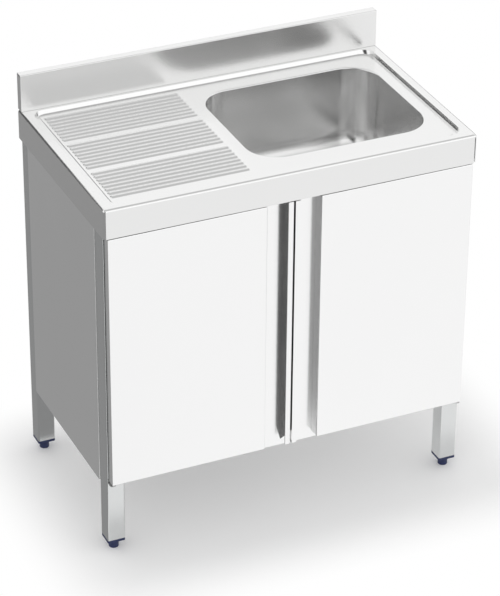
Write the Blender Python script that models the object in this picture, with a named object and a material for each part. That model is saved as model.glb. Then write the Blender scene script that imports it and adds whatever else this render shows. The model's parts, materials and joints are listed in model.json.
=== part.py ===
"""Stainless steel sink cabinet.

A pressed worktop with a ribbed drainer and one bowl stands on four square-tube legs.
Folded panels close the sides, back and bottom, and two double-skinned doors swing on
pivot pins at their outer edges. Each door has a full-height finger channel at the middle.

Metres, +Z up. X runs left to right, -Y is the front, and the origin is on the floor at the
middle of the worktop's outline.
"""
import bpy
import bmesh
from math import cos, pi, radians, sin
from mathutils import Matrix, Vector

# Overall sizes
WIDTH = 0.850
DEPTH = 0.500
DECK_HEIGHT = 0.850
SHEET = 0.0012
GAP = 0.0003
FOLD_RADIUS = 0.002

# Worktop border, apron and sunken deck
APRON_HEIGHT = 0.067
EDGE_RADIUS = 0.006
APRON_CORNER = 0.007
BORDER_FRONT = 0.043
BORDER_SIDE = 0.029
BORDER_REAR = 0.0245
DECK_DROP = 0.008
STEP_RUN = 0.006
DECK_CORNER = 0.030
LEDGE = 0.012

# Upstand at the back
SPLASH_HEIGHT = 0.086
SPLASH_THICK = 0.020
SPLASH_INSET = 0.0025

# Drainer ribs
RIB_GROUPS = 3
RIBS_PER_GROUP = 8
GROUP_BAND = 0.0135
RIB_WIDTH = 0.0115
RIB_HEIGHT = 0.0025
RIB_RAMP = 0.008
RIB_LAND = 0.005
RIB_REAR_LAND = 0.0125
STIFFENER_WIDTH = 0.024
STIFFENER_DROP = 0.015

# Bowl and its drain
BOWL_LENGTH = 0.410
BOWL_DEPTH = 0.200
BOWL_CORNER = 0.070
BOWL_RIM = 0.003
BOWL_FLANGE = 0.010
BOWL_DRAFT = 0.008
BOWL_FLOOR_BEND = 0.055
BOWL_LAND = 0.0227
FRONT_LAND = 0.0365
REAR_LAND = 0.049
SEAM_LAND = 0.019
FLOOR_FALL = 0.006
DRAIN_HOLE = 0.026
DRAIN_SEAT = 0.040
DRAIN_SEAT_DROP = 0.003
SEAT_SLOPE = 0.003

# Waste fitting
FLANGE_RADIUS = 0.037
FLANGE_THICK = 0.004
CUP_WALL = 0.0018
CUP_LENGTH = 0.022
GRID_RADIUS = 0.030
GRID_THICK = 0.002
GRID_HOLE = 0.0032
GRID_HOLES = 12
GRID_OUTER_RING = 0.018
GRID_INNER_RING = 0.011
SCREW_RADIUS = 0.003
SCREW_HEAD = 0.0055
SCREW_DOME = 0.0025
SCREW_CROWN = 0.003
SCREW_LENGTH = 0.040
GASKET_THICK = 0.003
BODY_WALL = 0.0025
BODY_CONE = 0.016
OUTLET_RADIUS = 0.020
OUTLET_LENGTH = 0.030
NUT_HEIGHT = 0.012
NUT_RIM = 0.005

# Legs, plugs and feet
LEG = 0.040
LEG_WALL = 0.0015
LEG_RADIUS = 0.003
LEG_SIDE_SETBACK = 0.003
LEG_FRONT_SETBACK = 0.020
LEG_REAR_SETBACK = 0.014
LEG_PLATE_THICK = 0.003
LEG_PLATE_REACH = 0.014
PLUG_FLANGE = 0.006
PLUG_STEM = 0.026
FOOT_RADIUS = 0.011
FOOT_HEIGHT = 0.0205
FOOT_CHAMFER = 0.0015
FOOT_CLEARANCE = 0.0015
STUD_RADIUS = 0.005
STUD_LENGTH = 0.042

# Panels, shelf and rails
PANEL_BOTTOM = 0.165
PANEL_JOINT = 0.0005
SIDE_RETURN = 0.015
BACK_RETURN = 0.010
BACK_SETBACK = 0.0165
BACK_TUCK = 0.020
SHELF_FLANGE = 0.030
CHANNEL_CLEARANCE = 0.0023
RAIL_DEPTH = 0.020
RAIL_HEIGHT = 0.035
RAIL_TUCK = 0.007

# Doors
DOOR_BOTTOM = 0.183
DOOR_TOP_GAP = 0.0018
DOOR_INSET = 0.007
DOOR_THICK = 0.018
DOOR_MEET_GAP = 0.0045
LIP_WIDTH = 0.0115
LIP_RETURN = 0.015
CHANNEL_WIDTH = 0.048
CHANNEL_DEPTH = 0.025
END_NOTCH = 0.023
PIVOT_NOTCH = 0.016
NOTCH_DEPTH = 0.004
LIP_RELIEF = 0.022

# Door pivots and magnetic catches
PIN_RADIUS = 0.003
PIN_CLEARANCE = 0.0003
PIN_FROM_SIDE = 0.005
PIN_FROM_FRONT = 0.009
BLOCK_WIDTH = 0.012
BLOCK_HEIGHT = 0.020
TAB_THICK = 0.003
TAB_RADIUS = 0.007
TAB_CLEARANCE = 0.001
CATCH_LENGTH = 0.045
CATCH_HEIGHT = 0.014
CATCH_FROM_CHANNEL = 0.030
STRIKE_THICK = 0.0015

# Facets
CORNER_STEPS = 6
BEND_STEPS = 4
TUBE_STEPS = 2
ROUND_STEPS = 24
HOLE_STEPS = 12
FOLD_STEPS = 2
RAMP_STEPS = 2
SMOOTH_ANGLE = radians(40)
WELD = 0.000001
OVERCUT = 0.010

# Places worked out from the sizes
X_SIDE = WIDTH / 2
Y_FRONT = -DEPTH / 2
Y_BACK = DEPTH / 2
APRON_BOTTOM = DECK_HEIGHT - APRON_HEIGHT
DECK_TOP = DECK_HEIGHT - DECK_DROP
LEDGE_TOP = DECK_TOP - SHEET - GAP
FLOOR_X = X_SIDE - BORDER_SIDE - STEP_RUN
FLOOR_Y0 = Y_FRONT + BORDER_FRONT + STEP_RUN
FLOOR_Y1 = Y_BACK - BORDER_REAR - STEP_RUN
BOWL_X1 = FLOOR_X - BOWL_LAND
BOWL_X0 = BOWL_X1 - BOWL_LENGTH
BOWL_Y0 = FLOOR_Y0 + FRONT_LAND
BOWL_Y1 = FLOOR_Y1 - REAR_LAND
SEAM_X = BOWL_X0 - SEAM_LAND
DRAIN = Vector(((BOWL_X0 + BOWL_X1) / 2, (BOWL_Y0 + BOWL_Y1) / 2))
BOWL_FLOOR = DECK_TOP - BOWL_DEPTH
SEAT_TOP = BOWL_FLOOR - FLOOR_FALL - DRAIN_SEAT_DROP
PLATE_TOP = LEDGE_TOP - SHEET - GAP
LEG_TOP = PLATE_TOP - LEG_PLATE_THICK - GAP
PLUG_BOTTOM = FOOT_HEIGHT + FOOT_CLEARANCE
LEG_BOTTOM = PLUG_BOTTOM + PLUG_FLANGE + GAP
LEG_X1 = X_SIDE - LEG_SIDE_SETBACK
LEG_X0 = LEG_X1 - LEG
FRONT_LEG_Y0 = Y_FRONT + LEG_FRONT_SETBACK
FRONT_LEG_Y1 = FRONT_LEG_Y0 + LEG
REAR_LEG_Y1 = Y_BACK - LEG_REAR_SETBACK
REAR_LEG_Y0 = REAR_LEG_Y1 - LEG
SHELF_BOTTOM = PANEL_BOTTOM + SHEET + GAP
DOOR_TOP = APRON_BOTTOM - DOOR_TOP_GAP
DOOR_OUTER = X_SIDE - DOOR_INSET
LIP_OUTER = DOOR_MEET_GAP / 2
LIP_INNER = LIP_OUTER + LIP_WIDTH
FACE_END = LIP_INNER + CHANNEL_WIDTH
LINER_FRONT = Y_FRONT + DOOR_THICK - SHEET
CHANNEL_BACK = Y_FRONT + CHANNEL_DEPTH
BEHIND_DOORS = CHANNEL_BACK + SHEET + CHANNEL_CLEARANCE
PIN_X = DOOR_OUTER - PIN_FROM_SIDE
PIN_Y = Y_FRONT + PIN_FROM_FRONT
RAIL_TOP = APRON_BOTTOM + RAIL_TUCK
SIDES = (("left", -1), ("right", 1))


def clear_scene():
    """Start from an empty scene."""
    for obj in list(bpy.data.objects):
        bpy.data.objects.remove(obj, do_unlink=True)


def make_material(name, colour, roughness, metallic):
    """A Principled surface in one colour."""
    mat = bpy.data.materials.new(name)
    mat.use_nodes = True
    shader = mat.node_tree.nodes["Principled BSDF"]
    shader.inputs["Base Color"].default_value = (*colour, 1.0)
    shader.inputs["Roughness"].default_value = roughness
    shader.inputs["Metallic"].default_value = metallic
    return mat


def make_materials():
    """The finishes that the cabinet shows."""
    return {
        "top": make_material("satin_top_steel", (0.72, 0.72, 0.71), 0.30, 1.0),
        "bowl": make_material("polished_bowl_steel", (0.60, 0.60, 0.60), 0.24, 1.0),
        "panel": make_material("brushed_panel_steel", (0.70, 0.70, 0.70), 0.34, 1.0),
        "tube": make_material("tube_steel", (0.62, 0.63, 0.63), 0.32, 1.0),
        "bracket": make_material("bracket_steel", (0.55, 0.55, 0.55), 0.40, 1.0),
        "blue": make_material("blue_plastic", (0.012, 0.020, 0.110), 0.45, 0.0),
        "rubber": make_material("black_rubber", (0.02, 0.02, 0.02), 0.80, 0.0),
        "white": make_material("white_plastic", (0.75, 0.75, 0.73), 0.50, 0.0),
    }


def add_object(name, bm, mat, origin=(0, 0, 0), parent=None):
    """Turn a mesh in world coordinates into an object with its origin at the given point."""
    bmesh.ops.remove_doubles(bm, verts=bm.verts, dist=WELD)
    bmesh.ops.recalc_face_normals(bm, faces=bm.faces)
    closed = not any(edge.is_boundary for edge in bm.edges)
    if closed and bm.calc_volume(signed=True) < 0:
        bmesh.ops.reverse_faces(bm, faces=bm.faces)
    bmesh.ops.translate(bm, verts=bm.verts, vec=-Vector(origin))
    mesh = bpy.data.meshes.new(name)
    bm.to_mesh(mesh)
    bm.free()
    mesh.materials.append(mat)
    mesh.shade_smooth()
    mesh.set_sharp_from_angle(angle=SMOOTH_ANGLE)
    obj = bpy.data.objects.new(name, mesh)
    bpy.context.scene.collection.objects.link(obj)
    obj.location = Vector(origin) - (parent.location if parent else Vector())
    obj.parent = parent
    return obj


def add_empty(name, place):
    """A pivot that moving pieces hang on."""
    empty = bpy.data.objects.new(name, None)
    empty.location = place
    bpy.context.scene.collection.objects.link(empty)
    return empty


def cut(obj, bm, name):
    """Cut a shape in world coordinates out of an object."""
    cutter = add_object(name, bm, obj.data.materials[0])
    cutter.hide_render = True
    cutter.display_type = "WIRE"
    modifier = obj.modifiers.new(name, "BOOLEAN")
    modifier.operation = "DIFFERENCE"
    modifier.object = cutter


def thicken_sheet(obj):
    """Give an open shell its sheet thickness, inwards from its faces."""
    modifier = obj.modifiers.new("sheet", "SOLIDIFY")
    modifier.thickness = SHEET
    modifier.offset = -1
    modifier.use_even_offset = True


def inset(rect, distance):
    """Draw a rectangle (x0, x1, y0, y1) in by a distance on every side."""
    x0, x1, y0, y1 = rect
    return (x0 + distance, x1 - distance, y0 + distance, y1 - distance)


def rounded_rect(rect, radii, z, steps=CORNER_STEPS):
    """Points round a rectangle with its own radius at each corner, from the rear right corner."""
    x0, x1, y0, y1 = rect
    if not isinstance(radii, tuple):
        radii = (radii,) * 4
    rear_right, rear_left, front_left, front_right = radii
    centres = ((x1 - rear_right, y1 - rear_right), (x0 + rear_left, y1 - rear_left),
               (x0 + front_left, y0 + front_left), (x1 - front_right, y0 + front_right))
    points = []
    for quarter, (centre, radius) in enumerate(zip(centres, radii)):
        for step in range(steps + 1):
            angle = (quarter + step / steps) * pi / 2
            points.append(Vector((centre[0] + radius * cos(angle), centre[1] + radius * sin(angle), z)))
    return points


def circle(centre, radius, z, count):
    """Points evenly spaced round a circle, in step with the points of a rounded rectangle."""
    angles = [2 * pi * (index + 0.5) / count for index in range(count)]
    return [Vector((centre[0] + radius * cos(a), centre[1] + radius * sin(a), z)) for a in angles]


def fillet_path(points, radius, steps=BEND_STEPS):
    """Round the inner corners of an open path with arcs."""
    path = [Vector(points[0])]
    for before, corner, after in zip(points, points[1:], points[2:]):
        corner = Vector(corner)
        into = (Vector(before) - corner).normalized()
        out = (Vector(after) - corner).normalized()
        half = into.angle(out) / 2
        centre = corner + (into + out).normalized() * radius / sin(half)
        start = corner + into * radius * cos(half) / sin(half) - centre
        end = corner + out * radius * cos(half) / sin(half) - centre
        for step in range(steps + 1):
            path.append(centre + start.slerp(end, step / steps) * radius)
    path.append(Vector(points[-1]))
    return path


def offset_path(points, distance):
    """Shift an open path to the right of its direction, keeping an even thickness."""
    points = [Vector(p) for p in points]
    runs = [(b - a).normalized() for a, b in zip(points, points[1:])]
    normals = [Vector((run.y, -run.x)) for run in runs]
    before = [normals[0]] + normals
    after = normals + [normals[-1]]
    shifted = []
    for point, first, second in zip(points, before, after):
        middle = (first + second).normalized()
        shifted.append(point + middle * distance / middle.dot(first))
    return shifted


def sweep(bm, loops, closed=True):
    """Extrude a chain of edges through a list of point loops and give its first and last edges."""
    count = len(loops[0])
    pairs = [(i, (i + 1) % count) for i in range(count if closed else count - 1)]
    verts = [bm.verts.new(point) for point in loops[0]]
    edges = [bm.edges.new((verts[a], verts[b])) for a, b in pairs]
    first = edges
    for loop in loops[1:]:
        grown = bmesh.ops.extrude_edge_only(bm, edges=edges)
        fresh = {item for item in grown["geom"] if isinstance(item, bmesh.types.BMVert)}
        verts = [next(e.other_vert(v) for e in v.link_edges if e.other_vert(v) in fresh) for v in verts]
        for vert, point in zip(verts, loop):
            vert.co = point
        edges = [bm.edges.get((verts[a], verts[b])) for a, b in pairs]
    return first, edges


def ring_mesh(loops):
    """A closed ring: the loops run once round its section."""
    bm = bmesh.new()
    sweep(bm, loops + [loops[0]])
    return bm


def capped_mesh(loops):
    """A closed solid whose first and last loops are capped."""
    bm = bmesh.new()
    first, last = sweep(bm, loops)
    bmesh.ops.contextual_create(bm, geom=first)
    bmesh.ops.contextual_create(bm, geom=last)
    return bm


def box_mesh(low, high):
    """A plain box between two corners."""
    bm = bmesh.new()
    size = Vector(high) - Vector(low)
    middle = (Vector(high) + Vector(low)) / 2
    bmesh.ops.create_cube(bm, matrix=Matrix.Translation(middle) @ Matrix.Diagonal((*size, 1)))
    return bm


def mirrored_box(side, low, high):
    """A box given by its distances from the middle plane, on the left or right side."""
    near, far = sorted((side * low[0], side * high[0]))
    return box_mesh((near, *low[1:]), (far, *high[1:]))


def pan_mesh(low, high, open_towards):
    """A folded tray: a box with rounded folds and one face left open."""
    bm = box_mesh(low, high)
    towards = Vector(open_towards)
    bm.normal_update()
    mouth = max(bm.faces, key=lambda face: face.normal.dot(towards))
    bmesh.ops.delete(bm, geom=[mouth], context="FACES")
    folds = [edge for edge in bm.edges if not edge.is_boundary]
    bmesh.ops.bevel(bm, geom=folds, offset=FOLD_RADIUS, segments=FOLD_STEPS, profile=0.5, affect="EDGES",
                    clamp_overlap=True, material=-1)
    return bm


def folded_strip(path, thickness, start, end, place):
    """A sheet folded along a path in a plane, run straight from start to end."""
    outline = path + offset_path(path, thickness)[::-1]
    return capped_mesh([[place(p.x, p.y, start) for p in outline], [place(p.x, p.y, end) for p in outline]])


def spun_mesh(profile, centre, closed):
    """Turn a profile of (radius, height) points about an upright axis."""
    bm = bmesh.new()
    verts = [bm.verts.new((centre[0] + r, centre[1], z)) for r, z in profile]
    pairs = list(zip(verts, verts[1:]))
    if closed:
        pairs.append((verts[-1], verts[0]))
    edges = [bm.edges.new(pair) for pair in pairs]
    bmesh.ops.spin(bm, geom=verts + edges, cent=(*centre, 0), axis=(0, 0, 1), angle=2 * pi,
                   steps=ROUND_STEPS, use_merge=True)
    return bm


def edge_section():
    """Worktop edge from the apron's lower edge up to the border, as (inset, height)."""
    path = [(0, -APRON_HEIGHT)]
    for step in range(BEND_STEPS + 1):
        angle = step / BEND_STEPS * pi / 2
        path.append((EDGE_RADIUS * (1 - cos(angle)), EDGE_RADIUS * (sin(angle) - 1)))
    return path


def step_section():
    """Border's inner edge: a soft slope down to the ledge that carries the deck pieces."""
    drop = DECK_HEIGHT - LEDGE_TOP
    path = [(0, 0)]
    for step in range(1, BEND_STEPS + 1):
        share = step / BEND_STEPS
        path.append((share * STEP_RUN, -drop * share * share * (3 - 2 * share)))
    path.append((STEP_RUN + LEDGE, -drop))
    return path


def section_loops(section, rect, radius, height):
    """Loops round a rectangle, one for each (inset, height) point of a section."""
    return [rounded_rect(inset(rect, d), max(radius - d, GAP), height + z) for d, z in section]


def build_worktop(mats):
    """Border, rounded edges and aprons, with a ledge round the sunken deck."""
    outer = (-X_SIDE, X_SIDE, Y_FRONT, Y_BACK)
    recess = (-X_SIDE + BORDER_SIDE, X_SIDE - BORDER_SIDE, Y_FRONT + BORDER_FRONT, Y_BACK - BORDER_REAR)
    edge = edge_section()
    step = step_section()
    loops = section_loops(edge, outer, APRON_CORNER, DECK_HEIGHT)
    loops += section_loops(step, recess, DECK_CORNER, DECK_HEIGHT)
    loops += section_loops(offset_path(step, SHEET)[::-1], recess, DECK_CORNER, DECK_HEIGHT)
    loops += section_loops(offset_path(edge, SHEET)[::-1], outer, APRON_CORNER, DECK_HEIGHT)
    add_object("worktop", ring_mesh(loops), mats["top"])


def rib_rows():
    """Rows of points across the ribbed field, each row running from front to back."""
    x0 = -FLOOR_X + RIB_LAND
    x1 = SEAM_X - STIFFENER_WIDTH / 2
    group_pitch = (FLOOR_Y1 - RIB_REAR_LAND - FLOOR_Y0) / RIB_GROUPS
    rib_pitch = (group_pitch - GROUP_BAND) / RIBS_PER_GROUP
    across = []
    for group in range(RIB_GROUPS):
        middle = FLOOR_Y0 + (group + 0.5) * group_pitch
        for rib in range(RIBS_PER_GROUP):
            centre = middle + (rib - (RIBS_PER_GROUP - 1) / 2) * rib_pitch
            for point in range(BEND_STEPS + 1):
                share = point / BEND_STEPS
                across.append((centre + (share - 0.5) * RIB_WIDTH, RIB_HEIGHT * sin(share * pi)))
    shares = [step / RAMP_STEPS for step in range(RAMP_STEPS + 1)]
    ramp = [(RIB_RAMP * share, sin(share * pi / 2)) for share in shares]
    along = [(x0 + run, share) for run, share in ramp] + [(x1 - run, share) for run, share in ramp[::-1]]
    return [[Vector((x, y, DECK_TOP + rise * share)) for y, rise in across] for x, share in along]


def build_drainer(mats):
    """Pressed drainer with three groups of raised ribs."""
    bm = bmesh.new()
    sweep(bm, rib_rows(), closed=False)
    bmesh.ops.recalc_face_normals(bm, faces=bm.faces)
    field = [edge for edge in bm.edges if edge.is_boundary]
    corner = DECK_CORNER - STEP_RUN - GAP
    rect = (-FLOOR_X + GAP, SEAM_X - GAP / 2, FLOOR_Y0 + GAP, FLOOR_Y1 - GAP)
    outline = [bm.verts.new(p) for p in rounded_rect(rect, (GAP, corner, corner, GAP), DECK_TOP)]
    rim = [bm.edges.new((a, b)) for a, b in zip(outline, outline[1:] + outline[:1])]
    bmesh.ops.triangle_fill(bm, edges=field + rim, use_beauty=True, normal=(0, 0, 1))
    drainer = add_object("drainer_panel", bm, mats["top"])
    thicken_sheet(drainer)


def build_stiffeners(mats):
    """Channels under the drainer, the last one backing the seam beside the bowl."""
    y0 = FLOOR_Y0 + LEDGE + GAP
    y1 = FLOOR_Y1 - LEDGE - GAP
    top = LEDGE_TOP
    first = -FLOOR_X + LEDGE
    names = ("left", "middle", "seam")
    pitch = (SEAM_X - first) / len(names)
    for index, name in enumerate(names, 1):
        x = first + index * pitch
        half = STIFFENER_WIDTH / 2
        path = [Vector(p) for p in ((x - half, top - STIFFENER_DROP), (x - half, top), (x + half, top),
                                    (x + half, top - STIFFENER_DROP))]
        bm = folded_strip(path, SHEET, y0, y1, lambda u, v, y: Vector((u, y, v)))
        add_object("deck_stiffener_" + name, bm, mats["bracket"])


def bowl_loops(section):
    """Loops round the bowl's opening, one for each (inset, height) point of a section."""
    return section_loops(section, (BOWL_X0, BOWL_X1, BOWL_Y0, BOWL_Y1), BOWL_CORNER, DECK_TOP)


def build_bowl_surround(mats):
    """Right part of the sunken deck, with a hole that the bowl's flange is welded into."""
    outline = (SEAM_X + GAP / 2, FLOOR_X - GAP, FLOOR_Y0 + GAP, FLOOR_Y1 - GAP)
    corner = DECK_CORNER - STEP_RUN - GAP
    radii = (corner, GAP, GAP, corner)
    edge = BOWL_FLANGE + GAP
    loops = [rounded_rect(outline, radii, DECK_TOP)] + bowl_loops([(-edge, 0), (-edge, -SHEET)])
    loops += [rounded_rect(outline, radii, DECK_TOP - SHEET)]
    add_object("bowl_surround", ring_mesh(loops), mats["top"])


def bowl_section():
    """Bowl from its flange over the rim and down the wall to the floor bend, as (inset, height)."""
    corner = (BOWL_DRAFT, -BOWL_DEPTH)
    rim = fillet_path([(-BOWL_FLANGE, 0), (0, 0), corner], BOWL_RIM)
    bend = fillet_path([(0, 0), corner, (BOWL_DRAFT + 2 * BOWL_FLOOR_BEND, -BOWL_DEPTH)], BOWL_FLOOR_BEND)
    return rim[:-1] + bend[1:-1]


def build_bowl(mats):
    """Drawn bowl with a narrow flange, falling to a drain seat in the middle of its floor."""
    wall = bowl_section()
    count = 4 * (CORNER_STEPS + 1)
    dish = (DRAIN_SEAT + SEAT_SLOPE, BOWL_FLOOR - FLOOR_FALL)
    seat = [dish, (DRAIN_SEAT, SEAT_TOP), (DRAIN_HOLE, SEAT_TOP)]
    under = offset_path(seat[::-1], SHEET)
    loops = bowl_loops(wall)
    loops += [circle(DRAIN, r, z, count) for r, z in seat + under]
    loops += bowl_loops(offset_path(wall, SHEET)[::-1])
    add_object("sink_bowl", ring_mesh(loops), mats["bowl"])


def build_waste(mats):
    """Waste fitting: flange with its cup, grid, screw, gasket, body and lock nut."""
    base = SEAT_TOP + GAP
    cup_outer = DRAIN_HOLE - GAP
    cup_inner = cup_outer - CUP_WALL
    cup_bottom = SEAT_TOP - CUP_LENGTH
    top = base + FLANGE_THICK
    seat = top - GRID_THICK - GAP
    grid_rim = GRID_RADIUS + GAP
    flange = [(grid_rim, top), (FLANGE_RADIUS - 2 * CUP_WALL, top), (FLANGE_RADIUS, base + CUP_WALL / 2),
              (FLANGE_RADIUS, base), (cup_outer, base), (cup_outer, cup_bottom), (cup_inner, cup_bottom),
              (cup_inner, seat), (grid_rim, seat)]
    add_object("waste_flange", spun_mesh(flange, DRAIN, True), mats["bowl"])

    grid_bottom = seat + GAP
    grid_top = grid_bottom + GRID_THICK
    bore = SCREW_RADIUS + GAP
    disc = [(bore, grid_top), (GRID_RADIUS, grid_top), (GRID_RADIUS, grid_bottom), (bore, grid_bottom)]
    grid = add_object("waste_grid", spun_mesh(disc, DRAIN, True), mats["bowl"])
    holes = bmesh.new()
    for index in range(GRID_HOLES):
        angle = index / GRID_HOLES * 2 * pi
        reach = GRID_OUTER_RING if index % 2 else GRID_INNER_RING
        place = Vector((DRAIN.x + reach * cos(angle), DRAIN.y + reach * sin(angle), grid_top))
        bmesh.ops.create_cone(holes, cap_ends=True, segments=HOLE_STEPS, radius1=GRID_HOLE, radius2=GRID_HOLE,
                              depth=OVERCUT, matrix=Matrix.Translation(place))
    cut(grid, holes, "cutter_grid_holes")

    head = grid_top + GAP
    screw = [(0, head + SCREW_CROWN), (SCREW_HEAD / 2, head + SCREW_DOME), (SCREW_HEAD, head),
             (SCREW_RADIUS, head), (SCREW_RADIUS, head - SCREW_LENGTH), (0, head - SCREW_LENGTH)]
    add_object("waste_screw", spun_mesh(screw, DRAIN, False), mats["bowl"])

    under = SEAT_TOP - SHEET - GAP
    hole = DRAIN_HOLE
    rim = DRAIN_SEAT - BODY_WALL
    gasket = [(hole, under), (rim, under), (rim, under - GASKET_THICK), (hole, under - GASKET_THICK)]
    add_object("waste_gasket", spun_mesh(gasket, DRAIN, True), mats["rubber"])

    body_top = under - GASKET_THICK - GAP
    shoulder = cup_bottom - GAP
    outer = hole + BODY_WALL
    cone_end = shoulder - BODY_WALL - BODY_CONE
    outlet_end = cone_end - OUTLET_LENGTH
    bore = OUTLET_RADIUS - BODY_WALL
    body = [(hole, body_top), (rim, body_top), (rim, body_top - BODY_WALL), (outer, body_top - BODY_WALL),
            (outer, shoulder - BODY_WALL), (OUTLET_RADIUS, cone_end), (OUTLET_RADIUS, outlet_end),
            (bore, outlet_end), (bore, cone_end), (hole - BODY_WALL, shoulder), (hole, shoulder)]
    add_object("waste_body", spun_mesh(body, DRAIN, True), mats["white"])

    nut_top = cone_end - GAP
    inner = OUTLET_RADIUS + GAP
    nut_bottom = nut_top - NUT_HEIGHT
    nut = [(inner, nut_top), (inner + NUT_RIM, nut_top), (inner + NUT_RIM, nut_bottom), (inner, nut_bottom)]
    add_object("waste_nut", spun_mesh(nut, DRAIN, True), mats["white"])


def build_splashback(mats):
    """Hollow folded upstand on the rear border, closed by a plate at each end."""
    y0 = Y_BACK - SPLASH_THICK
    bottom = DECK_HEIGHT + GAP
    top = DECK_HEIGHT + SPLASH_HEIGHT
    reach = X_SIDE - SPLASH_INSET
    path = fillet_path([(y0, bottom), (y0, top), (Y_BACK, top), (Y_BACK, bottom)], FOLD_RADIUS, FOLD_STEPS)
    bm = folded_strip(path, SHEET, -reach, reach, lambda u, v, x: Vector((x, u, v)))
    add_object("splashback", bm, mats["top"])
    inside = SHEET + GAP
    for name, side in SIDES:
        low = (reach - SHEET, y0 + inside, bottom)
        high = (reach, Y_BACK - inside, top - inside - FOLD_RADIUS)
        add_object("splashback_end_" + name, mirrored_box(side, low, high), mats["top"])


def leg_places():
    """Name, outer corner signs and (x0, x1, y0, y1) of each leg."""
    for side_name, side in SIDES:
        xs = sorted((side * LEG_X0, side * LEG_X1))
        yield "front_" + side_name, side, -1, (*xs, FRONT_LEG_Y0, FRONT_LEG_Y1)
        yield "rear_" + side_name, side, 1, (*xs, REAR_LEG_Y0, REAR_LEG_Y1)


def tube_loop(rect, radius, z):
    """A rounded rectangle with the few corner facets of a small tube or block."""
    return rounded_rect(rect, radius, z, TUBE_STEPS)


def build_leg(name, rect, mats):
    """Square tube with rounded corners, open at both ends."""
    bore = inset(rect, LEG_WALL)
    bore_radius = max(LEG_RADIUS - LEG_WALL, GAP)
    loops = [tube_loop(rect, LEG_RADIUS, LEG_BOTTOM), tube_loop(rect, LEG_RADIUS, LEG_TOP),
             tube_loop(bore, bore_radius, LEG_TOP), tube_loop(bore, bore_radius, LEG_BOTTOM)]
    add_object("leg_" + name, ring_mesh(loops), mats["tube"])


def build_leg_plate(name, side, rear, rect, mats):
    """Plate that ties a leg's top to the worktop's ledge."""
    x0, x1, y0, y1 = rect
    if side < 0:
        x1 += LEG_PLATE_REACH
    else:
        x0 -= LEG_PLATE_REACH
    if rear < 0:
        y1 += LEG_PLATE_REACH
    else:
        y0 -= LEG_PLATE_REACH
    plate = (x0, x1, y0, y1)
    bottom = PLATE_TOP - LEG_PLATE_THICK
    bm = capped_mesh([tube_loop(plate, LEG_RADIUS, PLATE_TOP), tube_loop(plate, LEG_RADIUS, bottom)])
    add_object("leg_plate_" + name, bm, mats["bracket"])


def build_plug(name, rect, mats):
    """Plastic end plug: a flange under the tube, a stem inside it and a threaded bore."""
    stem = inset(rect, LEG_WALL + GAP)
    stem_radius = max(LEG_RADIUS - LEG_WALL, GAP)
    middle = ((rect[0] + rect[1]) / 2, (rect[2] + rect[3]) / 2)
    bore = STUD_RADIUS + GAP
    count = 4 * (TUBE_STEPS + 1)
    flange_top = PLUG_BOTTOM + PLUG_FLANGE
    stem_top = flange_top + PLUG_STEM
    loops = [tube_loop(rect, LEG_RADIUS, PLUG_BOTTOM), tube_loop(rect, LEG_RADIUS, flange_top),
             tube_loop(stem, stem_radius, flange_top), tube_loop(stem, stem_radius, stem_top),
             circle(middle, bore, stem_top, count), circle(middle, bore, PLUG_BOTTOM, count)]
    add_object("leg_plug_" + name, ring_mesh(loops), mats["blue"])


def build_foot(name, rect, mats):
    """Screw-in levelling foot: a round base on a stud that runs up into the plug."""
    middle = ((rect[0] + rect[1]) / 2, (rect[2] + rect[3]) / 2)
    rim = FOOT_RADIUS - FOOT_CHAMFER
    stud_top = FOOT_HEIGHT + STUD_LENGTH
    profile = [(0, 0), (rim, 0), (FOOT_RADIUS, FOOT_CHAMFER), (FOOT_RADIUS, FOOT_HEIGHT - FOOT_CHAMFER),
               (rim, FOOT_HEIGHT), (STUD_RADIUS, FOOT_HEIGHT), (STUD_RADIUS, stud_top), (0, stud_top)]
    add_object("foot_" + name, spun_mesh(profile, middle, False), mats["blue"], origin=(*middle, 0))


def build_legs(mats):
    """Four legs, each with its top plate, plug and foot."""
    for name, side, rear, rect in leg_places():
        build_leg(name, rect, mats)
        build_leg_plate(name, side, rear, rect, mats)
        build_plug(name, rect, mats)
        build_foot(name, rect, mats)


def build_panels(mats):
    """Side panels flush with the apron, and a back panel between the rear legs."""
    outer = X_SIDE - GAP
    y0 = FRONT_LEG_Y1 + GAP
    y1 = REAR_LEG_Y0 - GAP
    top = APRON_BOTTOM - PANEL_JOINT
    for name, side in SIDES:
        xs = sorted((side * outer, side * (outer - SIDE_RETURN)))
        bm = pan_mesh((xs[0], y0, PANEL_BOTTOM), (xs[1], y1, top), (-side, 0, 0))
        thicken_sheet(add_object("side_panel_" + name, bm, mats["panel"]))
    back = Y_BACK - BACK_SETBACK
    reach = LEG_X0 - GAP
    top = APRON_BOTTOM + BACK_TUCK
    bm = pan_mesh((-reach, back - BACK_RETURN, PANEL_BOTTOM), (reach, back, top), (0, -1, 0))
    thicken_sheet(add_object("back_panel", bm, mats["panel"]))


def build_shelf(mats):
    """Cabinet floor with turned-down edges, notched round the legs."""
    clear = SHEET + 2 * GAP
    wide = X_SIDE - GAP - SHEET - FOLD_RADIUS
    narrow = LEG_X0 - clear
    front = BEHIND_DOORS
    back = Y_BACK - BACK_SETBACK - SHEET - FOLD_RADIUS
    y_front = FRONT_LEG_Y1 + clear
    y_back = REAR_LEG_Y0 - clear
    half = [(narrow, front), (narrow, y_front), (wide, y_front),
            (wide, y_back), (narrow, y_back), (narrow, back)]
    outline = half + [(-x, y) for x, y in half[::-1]]
    top = SHELF_BOTTOM + SHELF_FLANGE
    bm = bmesh.new()
    face = bm.faces.new([bm.verts.new((x, y, top)) for x, y in outline])
    grown = bmesh.ops.extrude_edge_only(bm, edges=list(face.edges))
    fresh = [item for item in grown["geom"] if isinstance(item, bmesh.types.BMVert)]
    bmesh.ops.translate(bm, verts=fresh, vec=(0, 0, -SHELF_FLANGE))
    thicken_sheet(add_object("bottom_shelf", bm, mats["panel"]))


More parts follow.
